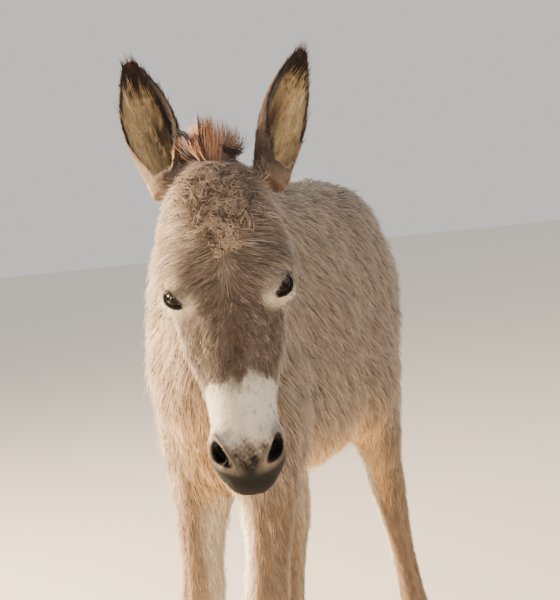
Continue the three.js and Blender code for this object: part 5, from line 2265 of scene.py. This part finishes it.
@dataclass
class Stage:
    """The floor, the lights and the camera."""

    eye: tuple[float, float, float] = (0.86654, -2.59151, 0.98230)
    target: tuple[float, float, float] = (0.06770, -0.23145, 0.77745)
    roll: float = math.radians(-7.0)
    lens: float = 104.3
    sensor: float = 36.0
    pale: tuple = linear("efe9df")
    aim: tuple[float, float, float] = (0.0, -0.1, 0.6)
    sky: tuple[float, float, float, float] = (1.0, 0.965, 0.92, 1.0)
    sky_strength: float = 0.76
    lamps: tuple[Lamp, Lamp] = (
        Lamp("warm_side", (-3.5, -0.85, 1.8), 0.9, 1050.0, (1.0, 0.76, 0.47)),
        Lamp("front_fill", (2.6, -3.2, 2.6), 3.0, 45.0, (1.0, 0.95, 0.90)),
    )

    def camera(self) -> None:
        """Sets up the camera."""
        eye, target = np.array(self.eye), np.array(self.target)
        ahead = unit(target - eye)
        right = unit(np.cross(ahead, (0.0, 0.0, 1.0)))
        up = np.cross(right, ahead)
        x_axis = right * math.cos(self.roll) + up * math.sin(self.roll)
        y_axis = up * math.cos(self.roll) - right * math.sin(self.roll)
        bpy.ops.object.camera_add(location=self.eye)
        camera = bpy.context.object
        camera.matrix_world = Matrix.Translation(self.eye) @ Matrix(
            np.stack([x_axis, y_axis, -ahead], 1).tolist()
        ).to_4x4()
        camera.data.lens = self.lens
        camera.data.sensor_width = self.sensor
        camera.data.sensor_fit = "AUTO"
        bpy.context.scene.camera = camera

    def floor(self) -> bpy.types.Object:
        """Lays the floor."""
        deselect()
        bpy.ops.mesh.primitive_plane_add(size=30.0, location=(0.0, 0.0, 0.0))
        floor = bpy.context.object
        floor.name = "floor"
        finish = NodeBoard.named("pale_floor", {"Base Color": (*self.pale, 1.0), "Roughness": 0.9})
        floor.data.materials.append(finish.material)
        return floor

    def light(self) -> None:
        """Lights the stage softly."""
        world = bpy.data.worlds.new("studio")
        bpy.context.scene.world = world
        world.use_nodes = True
        shade = world.node_tree.nodes["Background"]
        NodeBoard.fill(shade, {"Color": self.sky, "Strength": self.sky_strength})
        for lamp in self.lamps:
            lamp.build(self.aim)


def main() -> None:
    """Builds the donkey and its stage."""
    logging.basicConfig(level=logging.INFO, format="%(name)s: %(message)s")
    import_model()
    deselect()
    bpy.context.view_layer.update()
    head = HeadFrame.from_eyes()
    ears = (EarFrame.of("left", head), EarFrame.of("right", head))
    regions = Regions()
    eyes = (EyeFrame.of("left", head), EyeFrame.of("right", head))
    hide = Hide(head, regions, eyes)
    skin = hide.build()
    ground = Ground.of(skin, regions, hide, Markings(hide, ears))
    # The skin is painted darker than the coat: painted shade in the gaps between the tufts.
    paint(skin.data, ground.colour * UNDERCOAT_SHADE)
    dress(skin, FurFinish("skin_under_fur", sheen=0.0, relief=0.0006).material(), Slot.COAT, *FLESH)
    LOG.info("hide: %d triangles", len(ground.triangles))
    fur = FurFinish("fur").material()
    coat = Coat(ground, head)
    for piece in coat.build():
        dress(piece, fur, Slot.COAT)
    dress(Curls(head, ground, coat.tree).build(), fur, Slot.FACE)
    dress(FineHair(ground, hide).build(), FurFinish("stiff_hair", sheen=0.0).material(), Slot.FACE)
    long_hair = LongHair(head, ground)
    dress(long_hair.mane(), fur, Slot.MANE, "mane")
    dress(long_hair.forelock(), fur, Slot.MANE, "forelock")
    dress(long_hair.tail(), fur, Slot.MANE, "tail_tuft")
    wet = EyeFinish().material()
    for eye in eyes:
        dress(Eyeball(eye).build(), wet, Slot.EYE, f"{eye.side}_eye")
    horn = HoofFinish().material()
    for leg in LEGS:
        dress(Hoof(f"{leg}_hoof").build(), horn, Slot.HOOF, f"{leg}_hoof")
    stage = Stage()
    stage.camera()
    stage.floor()
    stage.light()


if __name__ == "__main__":
    main()
